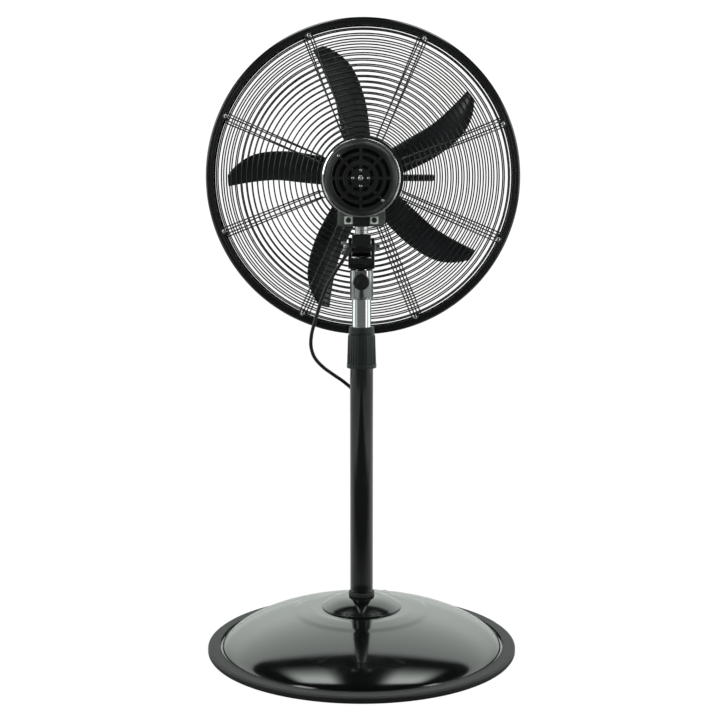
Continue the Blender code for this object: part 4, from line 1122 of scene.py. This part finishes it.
class FAN_OT_base(FanPiece, bpy.types.Operator):
    """The dome, its edge trim, the escutcheon and the seal at the pole's foot"""

    bl_idname = "fan.base"
    bl_label = "Base"

    def make(self, sizes):
        foot = 0.258
        flange = 0.01
        edge, top = TRIM.radius, TRIM.high.z
        profile = [(0.0, SHELL.high.z)]
        for k in range(1, 73):
            share = math.sin(QUARTER * k / 72)
            r = foot * share
            z = flange + (SHELL.high.z - flange) * max(0.0, 1 - share**2) ** 0.72
            step = 0.0013 * eased_between(r, 0.084, 0.09) * (1 - eased_between(r, 0.1195, 0.1255))
            profile.append((r, z + step))
        profile += near(foot, flange, (4, -12), (30, -12), (36, 0)) + near(edge, flange, (-60, 0))
        dome = Shape().turned(profile, 160)
        dome.piece("base_dome", "black_enamel", "stand", "base_shell", walls=(0.0015,), sharp=40.0)

        ring = near(foot, flange, (40, 3, 3)) + near(foot, top, (40, 8, 6), (66, 8, 6), (70, 0, 4))
        ring += near(edge, top, (-40, 0, 10), (0, -30, 20))
        ring += near(edge, 0.0, (0, 20, 12), (-15, 0, 8), (-130, 0, 6))
        ring += near(edge, flange, (-130, -18, 3), (-55, -18), (-55, 3))
        # The trim's side below its shoulder is painted darker as shade.
        lathed("base_edge_trim", "edge_rubber", ring, 160, "stand", "base_rim_trim", slot="rubber")

        tube = OUTER_TUBE.radius
        land = tube + 0.0033
        outer = COVER.radius
        low, high = COVER.low.z, COVER.high.z
        outline = [(tube + 0.0003, high), (land, high, 0.001)]
        for k in range(1, 20):
            t = k / 20
            outline.append((land + (outer - land) * t, low + 0.0014 + (high - low - 0.0014) * (1 - t**1.8)))
        outline += near(outer, low, (-2, 18, 6), (0, -6, 3), (-18, -6))
        cover = Shape().turned(filleted(outline), 128)
        cover.piece("base_escutcheon", "black_enamel", "stand", "base_cover", walls=(0.0012,), sharp=40.0)

        wide = FOOT_RING.radius
        low, high = FOOT_RING.low.z, FOOT_RING.high.z
        ring = near(tube, low, (3, 0)) + near(wide, low, (0, 0, 8))
        ring += near(wide, high, (0, -10, 8), (-12, 0, 8)) + near(tube, high, (3, 0))
        lathed("pole_foot_seal", "rubber", ring, 96, "stand", "pole_foot_ring", sharp=32.0)


class FAN_OT_pole(FanPiece, bpy.types.Operator):
    """The lower tube with its two lead clips, and the plated upper tube"""

    bl_idname = "fan.pole"
    bl_label = "Pole"

    def make(self, sizes):
        for name, finish, body, node, tube, wall, mouth in (
            ("pole_lower_tube", "black_enamel", "stand", "outer_tube", OUTER_TUBE, 15, 5),
            ("pole_upper_tube", "chrome", "mast", "inner_tube", INNER_TUBE, 12, 4),
        ):
            ring = near(tube.radius, tube.low.z, (-wall, 0), (0, 0, 4))
            ring += near(tube.radius, tube.high.z, (0, 0, mouth), (-wall, 0))
            lathed(name, finish, ring, 96, body, node, sharp=32.0)

        clips = Shape()
        for clip in CLIPS:
            y = clip.low.y
            radius = (clip.high.x - clip.low.x) / 2
            middle = clip.high.y - 0.0032
            outline = [(-radius, y, 0.0006), (radius, y, 0.0006), (radius, middle)]
            outline += arc(radius, 0, 52, 6, (0.0, middle))
            outline += arc(radius - 0.002, 52, -232, 24, (0.0, middle))
            outline += arc(radius, 128, 180, 6, (0.0, middle))
            clips.prism(filleted(outline, True), clip.low.z, clip.high.z)
        nodes = ("cord_clip_upper", "cord_clip_lower")
        clips.piece("lead_clips", "black_plastic", "stand", *nodes, bevel=(0.0003, 2, 40.0))


class FAN_OT_collar(FanPiece, bpy.types.Operator):
    """The ribbed collar that clamps the upper tube"""

    bl_idname = "fan.collar"
    bl_label = "Height collar"

    def make(self, sizes):
        low, high = COLLAR.low.z, COLLAR.high.z
        shoulder = high - 0.0135
        bore = OUTER_TUBE.radius + 0.0006
        neck = INNER_TUBE.radius + 0.0006
        profile = [(bore, low)] + near(COLLAR.radius, low, (0, 0, 10), (0, 80, 8)) + near(0.0, low, (253, 86))
        profile += near(0.0, shoulder, (240, -8), (228, 0, 5), (222, 4), (222, 14), (231, 18, 5))
        profile += near(0.0, high, (231, -20, 16), (215, 0, 8))
        profile += [(neck, high, 0.0004), (neck, shoulder), (bore, shoulder)]
        body = lathed("collar_body", "collar_plastic", profile, 120)
        half = 0.0011
        rows = []
        levels = near(0.0, low, (262, 83), (264, 100)) + near(0.0, shoulder, (249, -35), (240, -12))
        for out, z in levels:
            row = [(out - 0.003, -half), (out - 0.0008, -half), (out - 0.0002, -half * 0.7), (out, 0.0)]
            row += [(p, -q) for p, q in reversed(row[:3])]
            rows.append([(p, q, z) for p, q in row])
        rib = Shape().loft(rows)
        rib.faces += [tuple(range(7)), tuple(21 + k for k in reversed(range(7)))]
        part = settle(rib.made("collar_rib", "collar_plastic"))
        ribs = on_circles("collar_ribs", part, "collar_plastic", [(sizes.collar_ribs, 0.0, 6.0, 0.0)])
        collar = settle(joined("grip_collar", body, ribs), sharp=40.0)
        fit(collar, "collar", "collar_plastic", "height_collar")


class FAN_OT_neck(FanPiece, bpy.types.Operator):
    """The socket, the fork and its bolt, the clamp knob and the wing nut"""

    bl_idname = "fan.neck"
    bl_label = "Neck"

    def make(self, sizes):
        r = SOCKET.radius
        low, high = SOCKET.low.z, SOCKET.high.z
        profile = near(INNER_TUBE.radius, low, (3, 395), (3, 0))
        profile += near(r, low, (-10, 0, 5), (0, 10, 6), (0, 34, 3), (-6, 38), (-6, 46), (0, 50, 3))
        profile += near(r, high, (0, -30, 16), (-22, 0, 10)) + [(0.0, high)]
        lathed("neck_sleeve", "gunmetal", profile, 120, "mast", "neck_socket", ring=False)

        half = (YOKE.high.y - YOKE.low.y) / 2
        wide = YOKE.high.x
        outline = [(-half, YOKE.low.z, 0.003), (half, YOKE.low.z, 0.003)] + arc(half, 0, 180, 28, (0.0, TILT_Z))
        fork = Shape().prism(filleted(outline, True), -wide, wide).moved(SIDEWAYS)
        fork = fork.made("neck_fork", "black_enamel")
        inner = wide - 0.006
        cut(fork, Shape().block((-inner, -half * 2, YOKE.low.z + 0.019), (inner, half * 2, TILT_Z + 2 * half)))
        settle(with_bevel(fork, 0.0011, 3))
        fit(fork, "mast", "black_enamel", "tilt_yoke")

        start = wide + 0.0003
        place = Matrix.Translation((0, 0, TILT_Z))
        bolt = Shape().prism(hexagon(0.0075, 30), 0.0012, TILT_BOLT.high.x - start)
        bolt.turned(filleted([(0, 0), (0.009, 0, 0.0004), (0.009, 0.0014, 0.0004), (0, 0.0014)]), 40)
        bolt.moved(Matrix.Translation((start, 0, TILT_Z)) @ ALONG_X)
        tip = TILT_BOLT.low.x
        shank = filleted([(0, tip), (0.004, tip, 0.0008), (0.004, start), (0, start)])
        bolt.add(Shape().turned(shank, 32).moved(place @ ALONG_X))
        bolt.piece("neck_bolt", "bright_steel", "mast", "tilt_bolt", bevel=(0.0005, 2, 40.0))

        r = KNOB.radius
        face = -KNOB.low.y - 0.018
        profile = near(0.0, face, (0, -52), (30, -52), (30, 0))
        for share, height, round_off in (
            (0.5, 0, 4), (0.5, 35, 6), (0.9, 42, 10), (0.96, 62, 8), (0.96, 138, 10),
            (0.88, 160, 16), (0.6, 168, 8), (0.56, 163, 4), (0.3, 176, 30), (0, 180, 0),
        ):
            profile += near(r * share, face, (0, height, round_off))
        body = lathed("knob_body", "black_plastic", profile, 96, ring=False)
        bar = near(0.0, face, (0, 58), (8, 60, 3), (8, 142, 3), (0, 144))
        rib = lathed("knob_rib", "black_plastic", bar, 8, ring=False, sharp=32.0)
        ribs = on_circles("knob_ribs", rib, "black_plastic", [(sizes.knob_ribs, r * 0.96 - 0.0002, 0.0, 0.0)])
        knob = joined("clamp_knob", body, ribs)
        settle(knob, Matrix.Translation((0, 0, KNOB.middle.z)) @ UPRIGHT, 40.0)
        fit(knob, "knob", "black_plastic", "neck_knob")

        start = -WING_NUT.high.x
        wing = ((10, 50), (35, 95, 20), (62, 112, 16), (132, 110, 22), (132, 68, 22), (60, 30, 20))
        outline = near(-start, 0.0, *((-x, y, *rest) for x, y, *rest in wing))
        outline += near(-start, 0.0, *((-x, -y, *rest) for x, y, *rest in reversed(wing)))
        wings = Shape().prism(filleted(outline, True, 5), -0.0016, 0.0016).moved(place @ UPRIGHT)
        wings = settle(with_bevel(wings.made("wing_pair", "bright_steel"), 0.0008, 3))
        profile = near(0.0, start, (43, 0), (66, 0, 6), (62, 50), (54, 85, 10), (43, 85))
        boss = Shape().turned(filleted(profile, True), 48, True).moved(place @ AGAINST_X)
        hub = settle(boss.made("wing_hub", "bright_steel"))
        nut = settle(joined("wing_nut", wings, hub), sharp=40.0)
        fit(nut, "wing_nut", "bright_steel", "tilt_wing_nut")


class FAN_OT_swivel(FanPiece, bpy.types.Operator):
    """The tilting block, its swivel post and bush"""

    bl_idname = "fan.swivel"
    bl_label = "Tilt block and swivel"

    def make(self, sizes):
        half = BLOCK.high.y
        wide, top = BLOCK.high.x, BLOCK.high.z
        outline = [(half, top, 0.003), (-half, top, 0.003)] + arc(half, 180, 360, 28, (0.0, TILT_Z))
        block = Shape().prism(filleted(outline, True), -wide, wide).moved(SIDEWAYS)
        block.piece("neck_block", "black_enamel", "tilt", "tilt_block", bevel=(0.0012, 3))

        r = POST.radius
        seat = top + 0.0003
        low, high = POST.low.z, POST.high.z
        profile = near(0.0, low, (0, 100), (60, 100)) + [(0.006, seat)]
        profile += near(r, seat, (0, 0, 6), (0, 30, 3), (-5, 33), (-5, 37), (0, 40, 3), (0, 67, 6))
        profile += [(0.006, seat + 0.0067), (0.006, high), (0.0, high)]
        lathed("swivel_post", "bright_steel", profile, 72, "tilt", "pivot_post", ring=False)

        r = BUSH.radius
        low, high = BUSH.low.z, BUSH.high.z
        ring = [(0.0063, low), (r, low, 0.0008), (r, high, 0.0008), (0.0063, high)]
        lathed("swivel_washer", "bright_steel", ring, 72, "tilt", "swivel_bush", sharp=32.0)


class FAN_OT_saddle(FanPiece, bpy.types.Operator):
    """The saddle under the motor with its two bosses, the insert and the bolts"""

    bl_idname = "fan.saddle"
    bl_label = "Motor saddle"

    def make(self, sizes):
        half = SADDLE.high.x
        low, horn = SADDLE.low.z, SADDLE.high.z
        rear, front = SADDLE.low.y, SADDLE.high.y
        seat = HOUSING.radius + 0.0003
        spread = math.degrees(math.asin((half - 0.0015) / seat))
        outline = [(-half, low, 0.0085), (half, low, 0.0085), (half, horn, 0.001)]
        outline += arc(seat, -90 + spread, -90 - spread, 36, (0.0, HEAD_Z))
        outline.append((-half, horn, 0.001))
        body = Shape().prism(filleted(outline, True, 8), -front, -rear).moved(UPRIGHT)
        body = settle(with_bevel(body.made("saddle_body", "dull_zinc"), 0.0016, 3, 40.0))

        plates = Shape()
        bolts = Shape()
        middle = SADDLE_BOLTS[0].middle.z
        for bolt in SADDLE_BOLTS:
            x = bolt.middle.x
            plates.block((x - 0.0072, rear - 0.0012, middle - 0.007), (x + 0.0072, rear + 0.001, middle + 0.0066))
            head = Shape().prism(hexagon(0.0052, 0), 0.0, 0.0032)
            bolts.add(head.moved(Matrix.Translation((x, rear - 0.001, middle)) @ UPRIGHT))
        bosses = settle(with_bevel(plates.made("saddle_bosses", "pale_zinc"), 0.0011, 3))
        saddle = settle(joined("motor_cradle", body, bosses), sharp=40.0)
        fit(saddle, "head", "bright_steel", "motor_saddle")

        insert = Shape().block((-0.015, rear - 0.0014, low + 0.0004), (0.015, rear + 0.001, low + 0.016))
        insert.piece("cradle_insert", "black_plastic", "head", bevel=(0.0009, 3))
        bolts.piece("saddle_screws", "cast_iron", "head", "saddle_bolt_1", "saddle_bolt_2", bevel=(0.0006, 2))


class FAN_OT_motor(FanPiece, bpy.types.Operator):
    """The motor's shell and bezel, the vented cap and its screws, and the guard's plate"""

    bl_idname = "fan.motor"
    bl_label = "Motor"

    def make(self, sizes):
        r = HOUSING.radius
        rear, front = HOUSING.low.y, HOUSING.high.y
        profile = near(0.0, front, (112, 0), (560, 0, 6), (575, -12, 6))
        profile += near(r, front, (-40, -12, 30), (0, -60, 30), (0, -200, 4), (-8, -204), (-8, -216), (0, -220, 4))
        profile += near(r, rear, (0, 30, 4), (-7, 26), (-7, 0), (-30, 0))
        profile += near(r, front, (-30, -80)) + near(0.0, front, (112, -80))
        lathed("motor_shell", "bright_steel", profile, 144, "head", "motor_housing")

        rear, front = BELL.low.y, -0.0343
        profile = [(0.0112, front)] + near(r, front, (-3, 0, 6), (0, -14, 10))
        profile += near(r, rear, (-6, 4, 16), (-30, -6, 10))
        profile += near(CAP.radius, rear, (6, -2, 4), (-10, 0)) + [(0.0112, rear)]
        lathed("motor_bezel", "chrome", profile, 144, "head", "rear_end_bell")

        self.make_cap()
        rear, front = PLATE.low.y, PLATE.high.y
        profile = near(0.0, rear, (160, 0), (320, 0, 6)) + near(0.0, front, (320, -30))
        profile += near(PLATE.radius, front, (0, -30, 10), (0, 0, 10))
        profile += near(PLATE.radius, front, (-60, 0, 4), (-65, -6), (-120, -6), (-125, 0, 4))
        profile += near(0.0, front, (160, 0))
        lathed("guard_disc", "black_enamel", profile, 128, "head", "guard_plate")
        screw = cross_screw("plate_screw", 0.0042, 0.0024, "bright_steel")
        screws = on_circles("plate_screws", screw, "bright_steel", [(4, 0.048, 45.0, -front)])
        fit(settle(screws, HEAD @ TURNED, 40.0), "head", "bright_steel")

    def make_cap(self):
        """The cap: a polar grid whose open faces are the vents, thickened inwards."""
        front = CAP.high.y
        back = CAP.low.y
        depth = front - back
        vents = (165, 312, 448)
        # The grid's rings in tenths of a millimetre: (radius, drop from the back's middle).
        grid = (
            (30, 0), (105, 0), (112, 7), (158, 7), (165, 0), (232, 0), (240, 0), (250, 11), (295, 11), (305, 2),
            (312, 2), (385, 3), (392, 4), (401, 16), (430, 16), (440, 6), (448, 7), (515, 11), (535, 15), (560, 22),
            (585, 34), (605, 54), (618, 80), (626, 110), (632, 180), (637, 300), (640, depth * 1e4),
        )
        sectors = 8
        lanes = 12
        half = math.pi / sectors
        rows = [[(0.0, 0.0, back)]]
        for radius, drop in grid:
            radius = radius / 1e4
            margin = 0.0026 / radius
            turns = []
            for k in range(sectors):
                middle = 2 * half * (k + 0.5)
                turns.append(middle - half)
                turns += [middle + (half - margin) * (2 * j / (lanes - 2) - 1) for j in range(lanes - 1)]
            radius = min(radius, CAP.radius)
            rows.append([(radius * math.cos(a), radius * math.sin(a), back + drop / 1e4) for a in turns])
        starts = [k + 1 for k, (radius, _) in enumerate(grid) if radius in vents]

        def open_here(row, column):
            return row in starts and column % lanes not in (0, lanes - 1)

        cap = Shape().loft(rows, hole=open_here)
        cap.piece("vent_cap", "black_plastic", "head", "rear_cap", walls=(0.0018,), place=HEAD, sharp=40.0)

        small = [(4, 0.0135, 0.0, back + 0.0007), (2, 0.0545, 45.0, back + 0.0018)]
        for name, radius, height, rings, *nodes in (
            ("cap_centre_screw", 0.0044, 0.0024, [(1, 0.0, 0.0, back)], "cap_screw"),
            ("cap_small_screws", 0.0024, 0.0012, small),
        ):
            screw = cross_screw(name + "_part", radius, height, "bright_steel")
            screws = on_circles(name, screw, "bright_steel", rings)
            fit(settle(screws, HEAD, 40.0), "head", "bright_steel", *nodes)

        wheel = near(0.0, 0.0, (0, -10), (520, -10, 6), (520, 10, 6), (0, 10))
        place = HEAD @ Matrix.Translation((0, 0, BELL.low.y - 0.003))
        lathed("vent_baffle", "black_plastic", wheel, 72, "head", ring=False, place=place, sharp=32.0)


class FAN_OT_guards(FanPiece, bpy.types.Operator):
    """The two wire guards, the band that joins them and its screws, the badge and the cross"""

    bl_idname = "fan.guards"
    bl_label = "Guards"

    def make(self, sizes):
        tree = cage_tree()
        wire = sizes.wire_thickness
        same = {
            "Edge radius": sizes.edge_ring,
            "Wire thickness": wire,
            "Leg gap": sizes.leg_gap,
            "Spoke end": SPOKE_END,
            "Spokes": sizes.spokes,
            "Lift": 0.002,
        }
        names = (
            "Inner radius", "Inner height", "Edge height", "Fullness", "Spoke start", "Spoke turn", "Side", "Rings",
        )
        rear = (
            sizes.rear_inner_ring, REAR_GUARD.low.y + wire / 2, RIM.low.y + 0.0031, 3.2,
            0.0785, -sizes.spoke_turn, -1.0, sizes.rear_rings,
        )
        front = (
            sizes.front_inner_ring, FRONT_GUARD.high.y - wire / 2, RIM.high.y - 0.0031, 2.6,
            sizes.front_inner_ring, -sizes.spoke_turn - math.radians(FRONT_TURN), 1.0, sizes.front_rings,
        )
        for name, node, own in (("rear_cage", "rear_guard", rear), ("front_cage", "front_guard", front)):
            cage = grown(name, tree, [{**same, **dict(zip(names, own))}], "black_enamel")
            fit(settle(cage, HEAD, 60.0), "head", "black_enamel", node)
        self.make_band(sizes)
        self.make_badge()

    def make_band(self, sizes):
        """The band, and its screws on both sides at the spokes' ends."""
        edge = RIM.radius
        rear, front = RIM.low.y, RIM.high.y
        bore = edge - 0.015
        lip = ((0, 6, 5), (10, 0, 8), (62, 0, 6), (66, 7), (74, 7), (78, 0, 5))
        profile = near(bore, rear, *lip)
        profile += near(edge, rear, (-30, 0, 24), (0, 30, 24)) + near(edge, front, (0, -30, 24), (-30, 0, 24))
        profile += near(bore, front, *((x, -y, *rest) for x, y, *rest in reversed(lip)))
        profile += near(bore, front, (0, -15)) + near(edge, front, (-25, -15, 10))
        profile += near(edge, rear, (-25, 15, 10)) + near(bore, rear, (0, 15))
        lathed("rim_hoop", "black_enamel", profile, 240, "head", "rim_band")
        first = -math.degrees(sizes.spoke_turn)
        sets = []
        for name, angle, height, place in (
            ("rim_rear", first, rear, HEAD), ("rim_front", FRONT_TURN - first, -front, HEAD @ TURNED),
        ):
            screw = cross_screw(name, 0.0036, 0.002, "bright_steel")
            places = [(sizes.spokes, RIM_SCREW_CIRCLE, angle, height - 0.0024)]
            sets.append(settle(on_circles(name + "_screws", screw, "bright_steel", places), place, 40.0))
        fit(settle(joined("rim_screws", *sets), sharp=40.0), "head", "bright_steel")

    def make_badge(self):
        """The plain disc in the middle of the front guard, and the crossed arms before it."""
        r = BADGE.radius
        low, high = BADGE.low.y, BADGE.high.y
        profile = [(0.0, high - 0.0006)]
        for share, drop, *round_off in ((0.5, 6), (0.53, 0, 4), (0.56, 4), (0.86, 2), (0.89, 10), (0.92, 2, 4)):
            profile += near(r * share, high, (0, -drop, *round_off))
        profile += near(r, high, (-12, -8, 6), (0, -22, 6)) + near(r, low, (0, 0, 4), (-30, 0, 4))
        profile.append((0.0, low + 0.0004))
        lathed("front_disc", "black_plastic", profile, 120, "head", "centre_badge", ring=False)

        reach = CROSS.radius
        rod = (CROSS.high.y - CROSS.low.y) / 2
        end = [(0.0, -reach)]
        for a in map(math.radians, range(15, 91, 15)):
            end.append((rod * math.sin(a), -reach + rod * (1 - math.cos(a))))
        profile = end + [(r, -z) for r, z in reversed(end)]
        place = Matrix.Translation((0, CROSS.middle.y, HEAD_Z))
        bars = Shape().turned(profile, 32).moved(place)
        bars.add(Shape().turned(profile, 32).moved(place @ ALONG_X))
        boss = filleted([(0.0, -rod * 0.9), (0.015, -rod * 0.9, 0.002), (0.015, rod * 0.6, 0.004), (0.0, rod * 0.96)])
        bars.add(Shape().turned(boss, 64).moved(HEAD @ Matrix.Translation((0, 0, CROSS.middle.y))))
        bars.piece("cross_bars", "black_plastic", "head", "guard_cross", sharp=50.0)


class FAN_OT_blades(FanPiece, bpy.types.Operator):
    """The five swept blades, their hub and its nut"""

    bl_idname = "fan.blades"
    bl_label = "Blades"

    def make(self, sizes):
        root = HUB.radius + 0.0004
        spans = 44
        chords = 18
        for number in range(5):
            rows = []
            for i in range(spans + 1):
                share = i / spans
                radius = root + (BLADE_TIP - root) * share
                lead = smooth(LEADING_EDGE, share)
                trail = smooth(TRAILING_EDGE, share)
                pitch = math.radians(BLADE_PITCH[0] + (BLADE_PITCH[1] - BLADE_PITCH[0]) * share)
                row = []
                for j in range(chords + 1):
                    part = j / chords
                    degrees = lead + (trail - lead) * part
                    a = -math.radians(degrees + BLADE_FIRST + 72.0 * number)
                    rise = math.tan(pitch) * radius * math.radians(degrees - (lead + trail) / 2)
                    camber = BLADE_CAMBER * (1 - (2 * part - 1) ** 2) * eased_between(share, 0.0, 0.25)
                    row.append((radius * math.cos(a), radius * math.sin(a), BLADE_Y + rise - camber))
                rows.append(row)
            Shape().loft(rows, closed=False).piece(
                f"fan_blade_{number + 1}", "blade_enamel", "rotor", f"blade_{number + 1}",
                walls=(sizes.blade_thickness, 0.0), bevel=(0.0005, 2, 60.0), place=HEAD, sharp=50.0,
            )

        r = HUB.radius
        rear, front = HUB.low.y, HUB.high.y
        profile = near(0.0, rear, (53, 0), (140, 0, 8), (140, 60, 10))
        profile += near(r, rear, (-35, 60, 10), (-30, 0, 8), (0, 0, 10))
        profile += near(r, front, (0, -60, 40)) + [(r * 0.8, front, 0.004)]
        profile += near(0.0, front, (300, 0, 6), (290, -12), (200, -12), (190, 0, 6), (53, 0))
        lathed("blade_carrier", "blade_enamel", profile, 120, "rotor", "blade_hub")

        r = HUB_NUT.radius
        low, high = HUB_NUT.low.y, HUB_NUT.high.y
        profile = [
            (0.0, low + 0.002), (0.0053, low), (r, low, 0.001), (r * 0.88, high - 0.003, 0.003),
            (r * 0.5, high, 0.002), (0.0, high),
        ]
        body = lathed("spinner_body", "black_plastic", profile, 64, ring=False)
        bar = near(0.0, low, (0, 8), (9, 12, 4)) + near(0.0, high, (7, -40, 3), (0, -34))
        rib = lathed("spinner_rib", "black_plastic", bar, 8, ring=False, sharp=32.0)
        ribs = on_circles("spinner_ribs", rib, "black_plastic", [(16, r * 0.95, 0.0, 0.0)])
        fit(settle(joined("hub_spinner", body, ribs), HEAD, 40.0), "rotor", "black_plastic", "hub_nut")


class FAN_OT_inside(bpy.types.Operator):
    """Finishes on the frame's own nodes inside the base, pole and motor"""

    bl_idname = "fan.inside"
    bl_label = "Inner parts"

    NODES = {
        "cast_iron": ("base_weight", "pole_plug"),
        "bright_steel": ("base_bolt", "front_bearing", "rear_bearing", "motor_shaft"),
        "nylon": ("guide_bush", "grip_collet", "mast_foot_bush"),
        "steel_stack": ("stator", "rotor_core"),
        "copper": ("stator_winding",),
        "black_plastic": ("run_capacitor",),
    }

    def execute(self, context):
        for finish, names in self.NODES.items():
            for name in names:
                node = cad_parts[name]
                if not node.material_slots:
                    raise RuntimeError(f"{name} has no material slot")
                for slot in node.material_slots:
                    slot.material = FINISHES[finish]
        return {"FINISHED"}


class FAN_PT_panel(bpy.types.Panel):
    """The fan's sizes, colours and pieces"""

    bl_label = "Pedestal fan"
    bl_idname = "FAN_PT_panel"
    bl_space_type = "VIEW_3D"
    bl_region_type = "UI"
    bl_category = "Fan"

    def draw(self, context):
        layout = self.layout
        for group in (context.scene.fan_sizes, context.scene.fan_colours):
            box = layout.box()
            for name in group.__annotations__:
                box.prop(group, name)
        for piece in PIECES:
            layout.operator(piece.bl_idname)


PIECES = (
    FAN_OT_stage,
    FAN_OT_lead,
    FAN_OT_base,
    FAN_OT_pole,
    FAN_OT_collar,
    FAN_OT_neck,
    FAN_OT_swivel,
    FAN_OT_saddle,
    FAN_OT_motor,
    FAN_OT_guards,
    FAN_OT_blades,
    FAN_OT_inside,
)
CLASSES = (FanSizes, FanColours, *PIECES, FAN_PT_panel)


def register():
    for each in CLASSES:
        bpy.utils.register_class(each)
    bpy.types.Scene.fan_sizes = PointerProperty(type=FanSizes)
    bpy.types.Scene.fan_colours = PointerProperty(type=FanColours)


def unregister():
    del bpy.types.Scene.fan_colours
    del bpy.types.Scene.fan_sizes
    for each in reversed(CLASSES):
        bpy.utils.unregister_class(each)


def main():
    register()
    circle_tree()
    bpy.ops.fan.stage()
    bpy.ops.fan.lead()
    bpy.ops.fan.base()
    bpy.ops.fan.pole()
    bpy.ops.fan.collar()
    bpy.ops.fan.neck()
    bpy.ops.fan.swivel()
    bpy.ops.fan.saddle()
    bpy.ops.fan.motor()
    bpy.ops.fan.guards()
    bpy.ops.fan.blades()
    bpy.ops.fan.inside()


if __name__ == "__main__":
    main()
